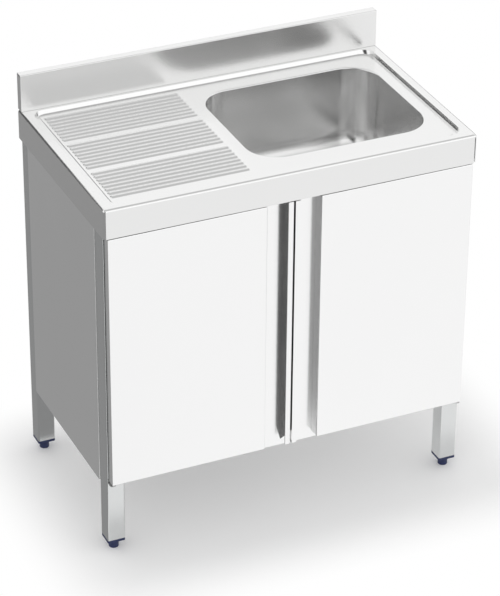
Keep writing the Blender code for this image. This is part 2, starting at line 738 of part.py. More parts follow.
def build_rails(mats):
    """Channels between the legs: the front one is the doors' stop, the rear one stiffens the back."""
    reach = LEG_X0 - GAP
    z0 = RAIL_TOP - RAIL_HEIGHT
    rear_face = Y_BACK - BACK_SETBACK - BACK_RETURN - CHANNEL_CLEARANCE
    for name, web, edge in (("front_rail", BEHIND_DOORS, BEHIND_DOORS + RAIL_DEPTH),
                            ("rear_rail", rear_face, rear_face - RAIL_DEPTH)):
        path = [Vector(p) for p in ((edge, z0), (web, z0), (web, RAIL_TOP), (edge, RAIL_TOP))]
        thickness = SHEET if web < edge else -SHEET
        bm = folded_strip(path, thickness, -reach, reach, lambda u, v, x: Vector((x, u, v)))
        add_object(name, bm, mats["panel"])


def build_door_skin(name, side, hinge, mats):
    """Front skin: a folded tray whose inner wall is the outer side of the finger channel."""
    low = (FACE_END, Y_FRONT, DOOR_BOTTOM)
    high = (DOOR_OUTER, CHANNEL_BACK - GAP, DOOR_TOP)
    xs = sorted((side * low[0], side * high[0]))
    bm = pan_mesh((xs[0], *low[1:]), (xs[1], *high[1:]), (0, 1, 0))
    skin = add_object("door_skin_" + name, bm, mats["panel"], hinge.location, hinge)
    thicken_sheet(skin)
    behind = CHANNEL_BACK + OVERCUT
    flange_end = LINER_FRONT - GAP
    wall = FACE_END + SHEET + FOLD_RADIUS
    inside = DOOR_OUTER - SHEET - GAP
    fold = Y_FRONT + FOLD_RADIUS + SHEET
    near = (wall, flange_end, DOOR_BOTTOM - OVERCUT)
    far = (DOOR_OUTER + OVERCUT, behind, DOOR_TOP + OVERCUT)
    cut(skin, mirrored_box(side, near, far), "cutter_flange_trim_" + name)
    spans = {"slot": (FACE_END - OVERCUT, FACE_END + END_NOTCH), "pivot": (DOOR_OUTER - PIVOT_NOTCH, inside)}
    levels = {"upper": (DOOR_TOP - NOTCH_DEPTH, DOOR_TOP + OVERCUT),
              "lower": (DOOR_BOTTOM - OVERCUT, DOOR_BOTTOM + NOTCH_DEPTH)}
    for label, (x0, x1) in spans.items():
        for level, (z0, z1) in levels.items():
            notch = mirrored_box(side, (x0, fold, z0), (x1, behind, z1))
            cut(skin, notch, "cutter_" + level + "_" + label + "_" + name)


def build_door_liner(name, side, hinge, mats):
    """Inner sheet: closes the door's back, floors the finger channel and folds out to the meeting lip."""
    step_x = FACE_END + SHEET + GAP
    points = [(DOOR_OUTER, LINER_FRONT), (step_x, LINER_FRONT), (step_x, CHANNEL_BACK),
              (LIP_INNER, CHANNEL_BACK), (LIP_INNER, Y_FRONT), (LIP_OUTER, Y_FRONT),
              (LIP_OUTER, Y_FRONT + LIP_RETURN)]
    path = [Vector((-x, y)) for x, y in points]
    bm = folded_strip(path, -SHEET, DOOR_BOTTOM, DOOR_TOP, lambda u, v, z: Vector((-side * u, v, z)))
    liner = add_object("door_liner_" + name, bm, mats["panel"], hinge.location, hinge)
    near = Y_FRONT + 2 * SHEET
    relief = [(near, DOOR_BOTTOM - OVERCUT), (near, DOOR_BOTTOM + LIP_RELIEF), (CHANNEL_BACK, DOOR_BOTTOM),
              (CHANNEL_BACK, DOOR_BOTTOM - OVERCUT)]
    xs = (side * (LIP_INNER - 2 * SHEET), side * (LIP_INNER + SHEET))
    cut(liner, capped_mesh([[Vector((x, y, z)) for y, z in relief] for x in xs]), "cutter_lip_relief_" + name)


def build_pivot(name, side, hinge, up, mats):
    """Block and pin in one door corner, and the tab on the leg that the pin turns in."""
    end = DOOR_TOP if up > 0 else DOOR_BOTTOM
    level = "upper_" if up > 0 else "lower_"
    outer = DOOR_OUTER - SHEET - GAP
    xs = sorted((side * outer, side * (outer - BLOCK_WIDTH)))
    rect = (*xs, Y_FRONT + SHEET + GAP, LINER_FRONT - GAP)
    pin = (side * PIN_X, PIN_Y)
    count = 4 * (TUBE_STEPS + 1)
    face = end - up * (SHEET + FOLD_RADIUS)
    near = end + up * TAB_CLEARANCE
    far = near + up * TAB_THICK
    loops = [tube_loop(rect, FOLD_RADIUS, face - up * BLOCK_HEIGHT), tube_loop(rect, FOLD_RADIUS, face),
             circle(pin, PIN_RADIUS, face, count), circle(pin, PIN_RADIUS, far, count)]
    add_object("pivot_pin_" + level + name, capped_mesh(loops), mats["bracket"], hinge.location, hinge)

    foot_y = FRONT_LEG_Y0 - GAP
    angles = [pi + pi * step / count for step in range(count + 1)]
    outline = [(pin[0] + TAB_RADIUS * cos(a), PIN_Y + TAB_RADIUS * sin(a)) for a in angles]
    outline += [(pin[0] + TAB_RADIUS, foot_y), (pin[0] - TAB_RADIUS, foot_y)]
    bm = capped_mesh([[Vector((x, y, z)) for x, y in outline] for z in (near, far)])
    tab = add_object("pivot_tab_" + level + name, bm, mats["bracket"])
    hole = circle(pin, PIN_RADIUS + PIN_CLEARANCE, near - up * OVERCUT, ROUND_STEPS)
    far_hole = [point + Vector((0, 0, up * 2 * OVERCUT)) for point in hole]
    cut(tab, capped_mesh([hole, far_hole]), "cutter_pin_hole_" + level + name)


def build_catch(name, side, hinge, mats):
    """Magnet on the front rail and its strike plate on the door's back."""
    x0 = FACE_END + CATCH_FROM_CHANNEL
    z1 = DOOR_TOP - NOTCH_DEPTH - FOLD_RADIUS
    z0 = z1 - CATCH_HEIGHT
    back = Y_FRONT + DOOR_THICK
    strike = back + GAP + STRIKE_THICK
    bm = mirrored_box(side, (x0, back + GAP, z0), (x0 + CATCH_LENGTH, strike, z1))
    add_object("catch_strike_" + name, bm, mats["bracket"], hinge.location, hinge)
    bm = mirrored_box(side, (x0, strike + GAP, z0), (x0 + CATCH_LENGTH, BEHIND_DOORS - GAP, z1))
    add_object("catch_magnet_" + name, bm, mats["white"])


def build_doors(mats):
    """Two doors on upright pivots at their outer edges."""
    for name, side in SIDES:
        hinge = add_empty("hinge_" + name, (side * PIN_X, PIN_Y, DOOR_BOTTOM))
        build_door_skin(name, side, hinge, mats)
        build_door_liner(name, side, hinge, mats)
        build_pivot(name, side, hinge, 1, mats)
        build_pivot(name, side, hinge, -1, mats)
        build_catch(name, side, hinge, mats)


def main():
    """Build the whole cabinet."""
    clear_scene()
    mats = make_materials()
    build_worktop(mats)
    build_drainer(mats)
    build_stiffeners(mats)
    build_bowl_surround(mats)
    build_bowl(mats)
    build_waste(mats)
    build_splashback(mats)
    build_legs(mats)
    build_panels(mats)
    build_shelf(mats)
    build_rails(mats)
    build_doors(mats)


main()
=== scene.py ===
"""Looks of a stainless steel sink cabinet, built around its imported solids.

The file is laid out as an add-on, with one operator for each group of pieces, and is run as
a script. Metres, +Z up, in the frame of the solids: X runs left to right and -Y is the front.
"""
import json
from math import cos, pi, radians, sin, tan

import bmesh
import bpy
from bpy.props import FloatProperty, FloatVectorProperty, IntProperty, PointerProperty
from bpy.types import Operator, Panel, PropertyGroup
from mathutils import Matrix, Vector


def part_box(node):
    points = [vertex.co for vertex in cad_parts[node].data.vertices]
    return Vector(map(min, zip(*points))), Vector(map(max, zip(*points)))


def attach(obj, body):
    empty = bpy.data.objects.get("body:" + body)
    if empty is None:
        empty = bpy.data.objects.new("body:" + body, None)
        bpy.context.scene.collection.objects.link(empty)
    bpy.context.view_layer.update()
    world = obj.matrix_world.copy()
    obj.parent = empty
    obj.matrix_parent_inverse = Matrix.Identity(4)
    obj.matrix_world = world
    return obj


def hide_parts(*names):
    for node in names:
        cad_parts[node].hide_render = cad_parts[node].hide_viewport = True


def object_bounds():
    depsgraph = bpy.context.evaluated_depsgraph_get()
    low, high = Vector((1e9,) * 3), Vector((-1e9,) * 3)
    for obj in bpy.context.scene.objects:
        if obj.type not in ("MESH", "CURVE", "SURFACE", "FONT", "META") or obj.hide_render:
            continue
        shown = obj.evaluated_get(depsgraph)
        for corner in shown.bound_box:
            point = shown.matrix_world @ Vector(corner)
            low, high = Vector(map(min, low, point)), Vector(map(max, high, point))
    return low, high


bl_info = {
    "name": "Sink Cabinet Looks",
    "version": (1, 0, 0),
    "blender": (4, 5, 0),
    "location": "3D View > Sidebar > Sink Cabinet",
    "description": "Finishes, pressed sheets and fittings of a stainless steel sink cabinet",
    "category": "Object",
}

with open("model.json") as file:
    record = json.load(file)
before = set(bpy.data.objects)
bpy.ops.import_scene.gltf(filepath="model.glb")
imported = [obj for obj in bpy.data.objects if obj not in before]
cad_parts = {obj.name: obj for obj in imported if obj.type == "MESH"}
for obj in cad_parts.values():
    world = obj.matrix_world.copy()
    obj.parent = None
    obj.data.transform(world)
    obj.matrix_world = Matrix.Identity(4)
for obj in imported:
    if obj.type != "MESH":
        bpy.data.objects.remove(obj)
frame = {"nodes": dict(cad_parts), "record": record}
CAD_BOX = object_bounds()
SLOT_OF_NODE = {part["node"]: part["material_slot"] for part in frame["record"]["subparts"]}

# Photograph's frame in pixels, and the camera that was fitted to it
IMAGE_WIDTH = 500
IMAGE_HEIGHT = 596
SENSOR = 36.0
FOCAL_PIXELS = 2795.09
CAMERA_DISTANCE = 6.1719
CAMERA_TARGET = Vector((0.01356, 0.0, 0.41176))

# Facets of the fine pieces, and the limits for shading, upright faces and merging
CORNER_STEPS = 12
BEND_STEPS = 6
FLOOR_STEPS = 12
DISH_STEPS = 2
WALL_STEPS = 4
ROUND_STEPS = 48
RIB_END_STEPS = 5
RIB_SIDE_STEPS = 5
GRIP_STEPS = 4
SMOOTH_ANGLE = radians(50)
UPRIGHT = 0.5
MERGE = 0.00001

# Places on the pressings and fittings
RIB_LAND = 0.005
RIB_END = 0.0035
RIB_SEAM_LAND = 0.007
SHARP_CORNER = 0.0003
# Height under the deck over which the bowl's painted shade fades into the deck's colour
BOWL_SHADE_FADE = 0.004
DISH_FALL = 0.006
DISH_RADIUS = 0.043
DISH_BEND = 0.0015
DISH_SLOPE = radians(60)
DRAIN_HOLE = 0.026
CUP_WALL = 0.0018
SHANK_SHARE = 0.55
SEAM_TURN = radians(-60)
SEAM_FACES = 6

# Brushing and wear of the finishes
ALONG_X = (20.0, 2500.0, 2500.0)
ALONG_Z = (2500.0, 2500.0, 20.0)
UNBRUSHED = (300.0, 300.0, 300.0)
MOULDED = (700.0, 700.0, 700.0)
GRAIN_SPREAD = (0.32, 0.68)
MARKS_SPREAD = (0.35, 0.65)
STEEL_MARKS = 6.0
PLASTIC_MARKS = 40.0
GRAIN_SHARE = 0.6
STEEL_TONES = (0.994, 1.006)
PLASTIC_TONES = (0.9, 1.12)
STEEL_GLOSS = 0.015
PLASTIC_GLOSS = 0.06
STEEL_BUMP = (0.004, 0.00001)
PLASTIC_BUMP = (0.15, 0.00006)

# Places of the colour sockets on a Mix node
MIX_FIRST = 6
MIX_SECOND = 7
MIX_RESULT = 2

# The studio's white, floor, light and cards; a pair holds the two ends of a card
WHITE = (1.0, 1.0, 1.0, 1.0)
FLOOR_REACH = 30.0
FLOOR_FADE = 0.22
REFLECTED_FADE = 0.10
SHADOW_SHIFT = (0.03, -0.05, 0.0)
WALL_TOP = radians(36)
CEILING_EDGE = radians(62)
CARD_LIFT = 0.001
SIDE_CARD_GAP = 0.10
SIDE_CARD_DEPTHS = 2
# Place of the painted shade card on the floor under the cabinet
LEG_CARD_GAP = 0.05
LEG_CARD_REACH = 0.40
BACK_CARD_GAP = 1.75
BACK_CARD_X = (-0.2, 2.5)
BACK_CARD_HEIGHT = 1.25
DARK_BACK_X = (-2.2, -0.45)
DARK_BACK_Z = (0.80, 2.25)
RIGHT_CARD_X = 2.0
RIGHT_CARD_Z = (0.80, 1.30)
FRONT_CARD_X = -1.30
FRONT_CARD_Y = (-4.0, -0.9)
FRONT_CARD_HEIGHT = 2.70
CHANNEL_CARD_X = -0.09
DARK_CHANNEL_Y = (-0.47, -0.30)
GREY_CHANNEL_Y = (-0.75, -0.47)


# Settings


def length_value(name, description, default):
    """A length that a user may change."""
    return FloatProperty(name=name, description=description, default=default, unit="LENGTH", precision=4)


def angle_value(name, description, degrees):
    """An angle that a user may change."""
    return FloatProperty(name=name, description=description, default=radians(degrees), subtype="ANGLE")


def share_value(name, description, default, most=1.0):
    """A share, a roughness or a light level that a user may change."""
    return FloatProperty(name=name, description=description, default=default, min=0.0, max=most)


def colour_value(name, description, red, green, blue):
    """A colour that a user may change."""
    return FloatVectorProperty(name=name, description=description, subtype="COLOR", size=4, min=0.0, max=1.0,
                               default=(red, green, blue, 1.0))


class SINK_PG_sizes(PropertyGroup):
    """Sizes of the pressed sheets and fittings"""
    sheet: length_value("Sheet", "Thickness of the sheet", 0.0012)
    edge_radius: length_value("Edge Radius", "Rounded edge of the worktop", 0.006)
    outer_corner: length_value("Outer Corner", "Radius of the worktop's corners in plan", 0.007)
    border_front: length_value("Front Border", "Flat border in front of the sunken deck", 0.020)
    border_side: length_value("Side Border", "Flat border beside the sunken deck", 0.0215)
    border_rear: length_value("Rear Border", "Border behind the sunken deck, under the upstand", 0.0245)
    deck_corner: length_value("Deck Corner", "Radius of the step's corners in plan, at its top", 0.030)
    step_bend: length_value("Step Bend", "Radius of both bends in the step down to the deck", 0.0012)
    step_slope: angle_value("Step Slope", "Steepest slope of the step at front and rear", 58)
    side_steepen: length_value("Side Steepen", "How much shorter the step runs at the two sides", 0.0042)
    rib_height: length_value("Rib Height", "Rise of the drainer's ribs", 0.0025)
    rib_width: length_value("Rib Width", "Width of a rib at its foot", 0.0145)
    rib_groups: IntProperty(name="Rib Groups", description="Groups of ribs on the drainer", default=3)
    ribs_per_group: IntProperty(name="Ribs per Group", description="Ribs in each group", default=8)
    group_band: length_value("Group Band", "Extra flat band between groups of ribs", 0.0135)
    rib_rear_land: length_value("Rear Land", "Flat deck behind the last group of ribs", 0.0125)
    bowl_flange: length_value("Bowl Flange", "Flat flange round the bowl's mouth", 0.010)
    bowl_corner: length_value("Bowl Corner", "Radius of the bowl's corners in plan", 0.070)
    bowl_rim: length_value("Bowl Rim", "Radius over the bowl's rim", 0.003)
    bowl_depth: length_value("Bowl Depth", "From the deck to the edge of the bowl's floor", 0.200)
    bowl_draft: length_value("Bowl Draft", "How far the wall leans in over the depth", 0.008)
    floor_bend: length_value("Floor Bend", "Radius between the bowl's wall and floor", 0.055)
    upstand_fold: length_value("Upstand Fold", "Radius of the upstand's folds", 0.002)
    tube_wall: length_value("Tube Wall", "Wall of the leg tubes", 0.0015)
    tube_corner: length_value("Tube Corner", "Outer radius of the leg tubes", 0.003)
    foot_height: length_value("Foot Height", "Round base of a foot", 0.0205)
    foot_edge: length_value("Foot Edge", "Rounded edges of a foot", 0.0015)
    stud_radius: length_value("Stud Radius", "Over the thread of a foot's stud", 0.005)
    thread_pitch: length_value("Thread Pitch", "Pitch of the stud's thread", 0.0015)
    thread_depth: length_value("Thread Depth", "Depth of the stud's thread", 0.0006)
    nut_ring: length_value("Nut Ring", "From the lock nut's bore to the outside of its grips", 0.0048)
    grip_count: IntProperty(name="Nut Grips", description="Grips round the waste's lock nut", default=24)
    grip_depth: length_value("Grip Depth", "Depth of the nut's grips", 0.0012)


class SINK_PG_finishes(PropertyGroup):
    """Colours and roughness of the finishes"""
    top_colour: colour_value("Top Steel", "Worktop, deck and upstand", 0.83, 0.83, 0.827)
    # Darker steel inside the bowl: painted shade for the bowl's hollow
    bowl_shaded_colour: colour_value("Bowl Steel", "Inside of the bowl", 0.75, 0.75, 0.747)
    panel_colour: colour_value("Panel Steel", "Doors and panels", 0.93, 0.93, 0.93)
    tube_colour: colour_value("Tube Steel", "Legs", 0.71, 0.72, 0.72)
    bracket_colour: colour_value("Bracket Steel", "Brackets, pins and stiffeners", 0.55, 0.55, 0.55)
    blue_colour: colour_value("Blue Plastic", "Plugs and feet", 0.010, 0.019, 0.078)
    white_colour: colour_value("White Plastic", "Waste body, nut and magnets", 0.75, 0.75, 0.73)
    rubber_colour: colour_value("Rubber", "Gasket", 0.02, 0.02, 0.02)
    top_roughness: share_value("Top Roughness", "Satin worktop and deck", 0.20)
    upstand_roughness: share_value("Upstand Roughness", "Duller satin of the upstand", 0.25)
    panel_roughness: share_value("Panel Roughness", "Brushed doors, panels and legs", 0.20)
    bowl_roughness: share_value("Bowl Roughness", "Drawn bowl", 0.23)
    bracket_roughness: share_value("Bracket Roughness", "Plain mill finish", 0.40)
    blue_roughness: share_value("Blue Roughness", "Moulded plugs and feet", 0.45)
    white_roughness: share_value("White Roughness", "Moulded waste body, nut and magnets", 0.50)
    rubber_roughness: share_value("Rubber Roughness", "Dull gasket", 0.80)


class SINK_PG_stage(PropertyGroup):
    """Camera and studio light"""
    azimuth: angle_value("Azimuth", "Camera's turn about the object", -24.521)
    elevation: angle_value("Elevation", "Camera's height angle", 30.429)
    roll: angle_value("Roll", "Camera's lean", 0.519)
    wall_light: share_value("Wall Light", "Light from the studio's walls", 1.15, 2.0)
    ceiling_light: share_value("Ceiling Light", "Light from straight above", 0.62, 2.0)
    front_gain: share_value("Front Gain", "How much brighter the front is than the middle", 0.08)
    # This level also sets the painted shade card under the cabinet that the rear left leg reflects
    side_card: share_value("Side Card", "Grey cards that the left side and the rear left leg reflect", 0.31)
    back_card: share_value("Back Card", "Grey card behind, that the ribs' far slopes reflect", 0.45)
    front_card: share_value("Front Card", "Dark card at the front left that the right step reflects", 0.03)
    dark_card: share_value("Dark Cards", "Dark cards behind and at the right that the step reflects", 0.08)
    channel_card_left: share_value("Left Channel Card", "Dark card that the left lip reflects", 0.04)
    channel_card_right: share_value("Right Channel Card", "Grey card for the right channel", 0.37)
    floor_colour: colour_value("Floor", "Pale studio floor", 0.95, 0.95, 0.95)
    floor_lift: share_value("Floor Lift", "Share of plain white in the floor near the object", 0.08)


# Mesh helpers


def add_piece(name, bm, finish, body, replaced, slot=None):
    """Make a finished piece of a mesh, ride it on a body and let it stand for solids.

    The slot argument is not used.
    """
    slot = slot or finish
    bmesh.ops.remove_doubles(bm, verts=bm.verts, dist=MERGE)
    mesh = bpy.data.meshes.new(name)
    bm.to_mesh(mesh)
    bm.free()
    mesh.materials.append(finishes()[finish])
    mesh.shade_smooth()
    mesh.set_sharp_from_angle(angle=SMOOTH_ANGLE)
    piece = bpy.data.objects.new(name, mesh)
    bpy.context.scene.collection.objects.link(piece)
    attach(piece, body)
    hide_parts(*replaced)
    weigh_normals(piece)


def weigh_normals(piece):
    """Keep flat faces flat beside smooth bends."""
    modifier = piece.modifiers.new("weighted normals", "WEIGHTED_NORMAL")
    modifier.keep_sharp = True


def plate(bm, low, high, level, radii):
    """A flat face with rounded corners; radii run rear right, rear left, front left, front right."""
    size = Vector((high[0] - low[0], high[1] - low[1], 1.0, 1.0))
    middle = Vector(((high[0] + low[0]) / 2, (high[1] + low[1]) / 2, level))
    before = set(bm.faces)
    made = bmesh.ops.create_grid(bm, x_segments=1, y_segments=1, size=0.5,
                                 matrix=Matrix.Translation(middle) @ Matrix.Diagonal(size))
    corners = {(v.co.x > middle.x, v.co.y > middle.y): v for v in made["verts"]}
    for place, radius in zip(((True, True), (False, True), (False, False), (True, False)), radii):
        bmesh.ops.bevel(bm, geom=[corners[place]], offset=radius, segments=CORNER_STEPS, profile=0.5,
                        affect="VERTICES", clamp_overlap=True, material=-1)
    return next(face for face in bm.faces if face not in before)


def bend(radius, start, end, steps=BEND_STEPS):
    """Chords of an arc as (inwards, down) moves of a path that turns from one slope to another."""
    turn = (end - start) / steps
    chord = 2 * radius * sin(abs(turn) / 2)
    slopes = [start + turn * (step + 0.5) for step in range(steps)]
    return [(chord * cos(slope), chord * sin(slope)) for slope in slopes]


def press(bm, face, moves):
    """Draw a face inwards and down through a list of moves."""
    for inwards, down in moves:
        bmesh.ops.inset_region(bm, faces=[face], thickness=inwards, depth=-down, use_boundary=True,
                               use_even_offset=True)


def open_face(bm, face):
    """Take a face away and give the edges round the hole."""
    edges = list(face.edges)
    bmesh.ops.delete(bm, geom=[face], context="FACES_ONLY")
    return edges


def level_edges(bm, level):
    """Open edges of a sheet that lie at a level."""
    return [edge for edge in bm.edges
            if edge.is_boundary and all(abs(vert.co.z - level) < MERGE for vert in edge.verts)]


def grown_from(grown, kind):
    """Vertices or faces that an extrusion made."""
    return [item for item in grown["geom"] if isinstance(item, kind)]


def thicken(bm, thickness):
    """Give an open sheet its thickness, away from the side that it faces."""
    bmesh.ops.solidify(bm, geom=bm.faces[:], thickness=thickness)


def face_out(bm, middle):
    """Turn a sheet to face away from a point that it is folded round."""
    bmesh.ops.recalc_face_normals(bm, faces=bm.faces)
    widest = max(bm.faces, key=lambda face: face.calc_area())
    if widest.normal.dot(widest.calc_center_median() - middle) < 0:
        bmesh.ops.reverse_faces(bm, faces=bm.faces)


def folded_sheet(path, run, fold, thickness):
    """A sheet folded along a path of corners and run straight, with rounded folds."""
    bm = bmesh.new()
    verts = [bm.verts.new(point) for point in path]
    edges = [bm.edges.new(pair) for pair in zip(verts, verts[1:])]
    grown = bmesh.ops.extrude_edge_only(bm, edges=edges)
    bmesh.ops.translate(bm, verts=grown_from(grown, bmesh.types.BMVert), vec=run)
    folds = [edge for edge in bm.edges if len(edge.link_faces) == 2]
    bmesh.ops.bevel(bm, geom=folds, offset=fold, segments=BEND_STEPS, profile=0.5, affect="EDGES",
                    clamp_overlap=True, material=-1)
    face_out(bm, sum((Vector(point) for point in path), Vector()) / len(path) + Vector(run) / 2)
    thicken(bm, thickness)
    return bm


def tube(low, high, corner, wall):
    """An upright square tube with rounded corners, open at both ends."""
    bm = bmesh.new()
    base = plate(bm, low, high, low.z, (corner,) * 4)
    lid = grown_from(bmesh.ops.extrude_face_region(bm, geom=[base]), bmesh.types.BMFace)[0]
    bmesh.ops.translate(bm, verts=list(lid.verts), vec=(0, 0, high.z - low.z))
    bmesh.ops.recalc_face_normals(bm, faces=bm.faces)
    bmesh.ops.delete(bm, geom=[base, lid], context="FACES_ONLY")
    thicken(bm, wall)
    return bm


def lathe(profile, centre, closed=False):
    """Turn a profile of (radius, height) points about an upright axis."""
    bm = bmesh.new()
    verts = [bm.verts.new((centre.x + radius, centre.y, height)) for radius, height in profile]
    pairs = list(zip(verts, verts[1:]))
    if closed:
        pairs.append((verts[-1], verts[0]))
    edges = [bm.edges.new(pair) for pair in pairs]
    bmesh.ops.spin(bm, geom=verts + edges, cent=(centre.x, centre.y, 0), axis=(0, 0, 1), angle=2 * pi,
                   steps=ROUND_STEPS, use_merge=True)
    bmesh.ops.remove_doubles(bm, verts=bm.verts, dist=MERGE)
    bmesh.ops.recalc_face_normals(bm, faces=bm.faces)
    return bm


def arc(radius, height, bend_radius, start, end):
    """Profile points round an edge whose centre is at a radius and height."""
    turns = [start + (end - start) * step / BEND_STEPS for step in range(BEND_STEPS + 1)]
    return [(radius + bend_radius * cos(turn), height + bend_radius * sin(turn)) for turn in turns]


# Shader helpers


def feed(tree, socket, value):
    """Give a socket a link, or a fixed value."""
    if isinstance(value, bpy.types.NodeSocket):
        tree.links.new(value, socket)
    else:
        socket.default_value = value


def add_node(tree, kind, *values, **settings):
    """Add a node with its settings, and feed its first sockets in order."""
    node = tree.nodes.new(kind)
    for name, value in settings.items():
        setattr(node, name, value)
    for socket, value in zip(node.inputs, values):
        feed(tree, socket, value)
    return node


def set_sockets(tree, node, sockets):
    """Feed some sockets of a node by name."""
    for name, value in sockets.items():
        feed(tree, node.inputs[name], value)


def arithmetic(tree, operation, *values):
    """One step of arithmetic."""
    return add_node(tree, "ShaderNodeMath", *values, operation=operation).outputs["Value"]


def vector_step(tree, operation, *values):
    """One step of vector arithmetic."""
    return add_node(tree, "ShaderNodeVectorMath", *values, operation=operation)


def map_range(tree, value, start, end, low=0.0, high=1.0, kind="LINEAR"):
    """Map a value from one range onto another."""
    node = add_node(tree, "ShaderNodeMapRange", value, start, end, low, high, interpolation_type=kind)
    return node.outputs["Result"]


def mix_colours(tree, share, first, second):
    """A colour between two others."""
    node = add_node(tree, "ShaderNodeMix", share, data_type="RGBA")
    feed(tree, node.inputs[MIX_FIRST], first)
    feed(tree, node.inputs[MIX_SECOND], second)
    return node.outputs[MIX_RESULT]


def tone(tree, share, colour, tones):
    """A colour that swings between a darker and a lighter tone."""
    darker, lighter = ((*(min(part * factor, 1.0) for part in colour[:3]), 1.0) for factor in tones)
    return mix_colours(tree, share, darker, lighter)


def add_bump(tree, height, bump):
    """A bump from a height of 0 to 1, of a strength and a depth."""
    node = tree.nodes.new("ShaderNodeBump")
    set_sockets(tree, node, {"Strength": bump[0], "Distance": bump[1], "Height": height})
    return node.outputs["Normal"]


def start_group(name, kind, inputs, outputs):
    """An empty node group with its sockets, its input node and its output node."""
    tree = bpy.data.node_groups.new(name, kind)
    for direction, sockets in (("INPUT", inputs), ("OUTPUT", outputs)):
        for socket, socket_kind in sockets.items():
            tree.interface.new_socket(socket, in_out=direction, socket_type="NodeSocket" + socket_kind)
    return tree, tree.nodes.new("NodeGroupInput"), tree.nodes.new("NodeGroupOutput")


def brushed_grain():
    """Node group: streaks left by brushing, drawn out by a stretch along each axis."""
    tree = bpy.data.node_groups.get("brushed_grain")
    if tree:
        return tree
    tree, source, target = start_group("brushed_grain", "ShaderNodeTree",
                                       {"Vector": "Vector", "Stretch": "Vector"}, {"Grain": "Float"})
    drawn = vector_step(tree, "MULTIPLY", source.outputs["Vector"], source.outputs["Stretch"])
    noise = tree.nodes.new("ShaderNodeTexNoise")
    set_sockets(tree, noise, {"Vector": drawn.outputs["Vector"], "Scale": 1.0, "Detail": 4.0,
                              "Roughness": 0.65})
    feed(tree, target.inputs["Grain"], map_range(tree, noise.outputs["Fac"], *GRAIN_SPREAD))
    return tree


def handling_marks():
    """Node group: faint cloudy marks where hands and cloths have passed."""
    tree = bpy.data.node_groups.get("handling_marks")
    if tree:
        return tree
    tree, source, target = start_group("handling_marks", "ShaderNodeTree",
                                       {"Vector": "Vector", "Scale": "Float"}, {"Marks": "Float"})
    noise = tree.nodes.new("ShaderNodeTexNoise")
    set_sockets(tree, noise, {"Vector": source.outputs["Vector"], "Scale": source.outputs["Scale"],
                              "Detail": 3.0, "Distortion": 0.6})
    feed(tree, target.inputs["Marks"], map_range(tree, noise.outputs["Fac"], *MARKS_SPREAD))
    return tree


def start_material(name, stretch, marks_scale):
    """A Principled material, its tree, and the grain and marks that its surface shows."""
    material = bpy.data.materials.new(name)
    material.use_nodes = True
    tree = material.node_tree
    coords = tree.nodes.new("ShaderNodeTexCoord").outputs["Object"]
    groups = ((brushed_grain(), "Stretch", stretch), (handling_marks(), "Scale", marks_scale))
    shown = []
    for group, setting, value in groups:
        node = add_node(tree, "ShaderNodeGroup", node_tree=group)
        set_sockets(tree, node, {"Vector": coords, setting: value})
        shown.append(node.outputs[0])
    return material, tree, *shown


def steel(name, colour, roughness, stretch, unshaded_rim_colour=None):
    """Brushed or satin stainless steel, with grain along the axis of least stretch.

    Where it has an unshaded rim colour, its own colour is painted shade for the bowl's hollow below the deck,
    and it passes into the rim colour at the deck.
    """
    material, tree, grain, marks = start_material(name, stretch, STEEL_MARKS)
    mixed = arithmetic(tree, "MULTIPLY_ADD", grain, GRAIN_SHARE,
                       map_range(tree, marks, 0.0, 1.0, 0.0, 1.0 - GRAIN_SHARE))
    base = tone(tree, mixed, colour, STEEL_TONES)
    # Painted shade: below the deck the steel keeps its darker colour, and it fades into the rim colour at the
    # deck
    if unshaded_rim_colour:
        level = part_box("bowl_surround")[1].z
        coords = tree.nodes.new("ShaderNodeTexCoord").outputs["Object"]
        height = add_node(tree, "ShaderNodeSeparateXYZ", coords).outputs["Z"]
        base = mix_colours(tree, map_range(tree, height, level - BOWL_SHADE_FADE, level), base, unshaded_rim_colour)
    set_sockets(tree, tree.nodes["Principled BSDF"], {
        "Base Color": base,
        "Roughness": map_range(tree, mixed, 0.0, 1.0, roughness - STEEL_GLOSS, roughness + STEEL_GLOSS),
        "Normal": add_bump(tree, grain, STEEL_BUMP),
        "Metallic": 1.0,
    })
    return material


def plastic(name, colour, roughness):
    """Moulded plastic or rubber with a fine grain."""
    material, tree, grain, marks = start_material(name, MOULDED, PLASTIC_MARKS)
    set_sockets(tree, tree.nodes["Principled BSDF"], {
        "Base Color": tone(tree, marks, colour, PLASTIC_TONES),
        "Roughness": map_range(tree, marks, 0.0, 1.0, roughness - PLASTIC_GLOSS, roughness + PLASTIC_GLOSS),
        "Normal": add_bump(tree, grain, PLASTIC_BUMP),
    })
    return material


def finishes():
    """Every finish by its name, made once: the slots of the record and a duller one for the upstand."""
    props = bpy.context.scene.sink_finishes
    makers = {
        "top_steel": (steel, props.top_colour, props.top_roughness, ALONG_X),
        "upstand_steel": (steel, props.top_colour, props.upstand_roughness, ALONG_X),
        # The bowl's darker colour is painted shade for its hollow; the waste's flange and screw share it
        "bowl_steel": (steel, props.bowl_shaded_colour, props.bowl_roughness, ALONG_Z, props.top_colour),
        "panel_steel": (steel, props.panel_colour, props.panel_roughness, ALONG_Z),
        "tube_steel": (steel, props.tube_colour, props.panel_roughness, ALONG_Z),
        "bracket_steel": (steel, props.bracket_colour, props.bracket_roughness, UNBRUSHED),
        "blue_plastic": (plastic, props.blue_colour, props.blue_roughness),
        "white_plastic": (plastic, props.white_colour, props.white_roughness),
        "rubber": (plastic, props.rubber_colour, props.rubber_roughness),
    }
    return {slot: bpy.data.materials.get("finish_" + slot) or make("finish_" + slot, *values)
            for slot, (make, *values) in makers.items()}


# Solids that keep their shape


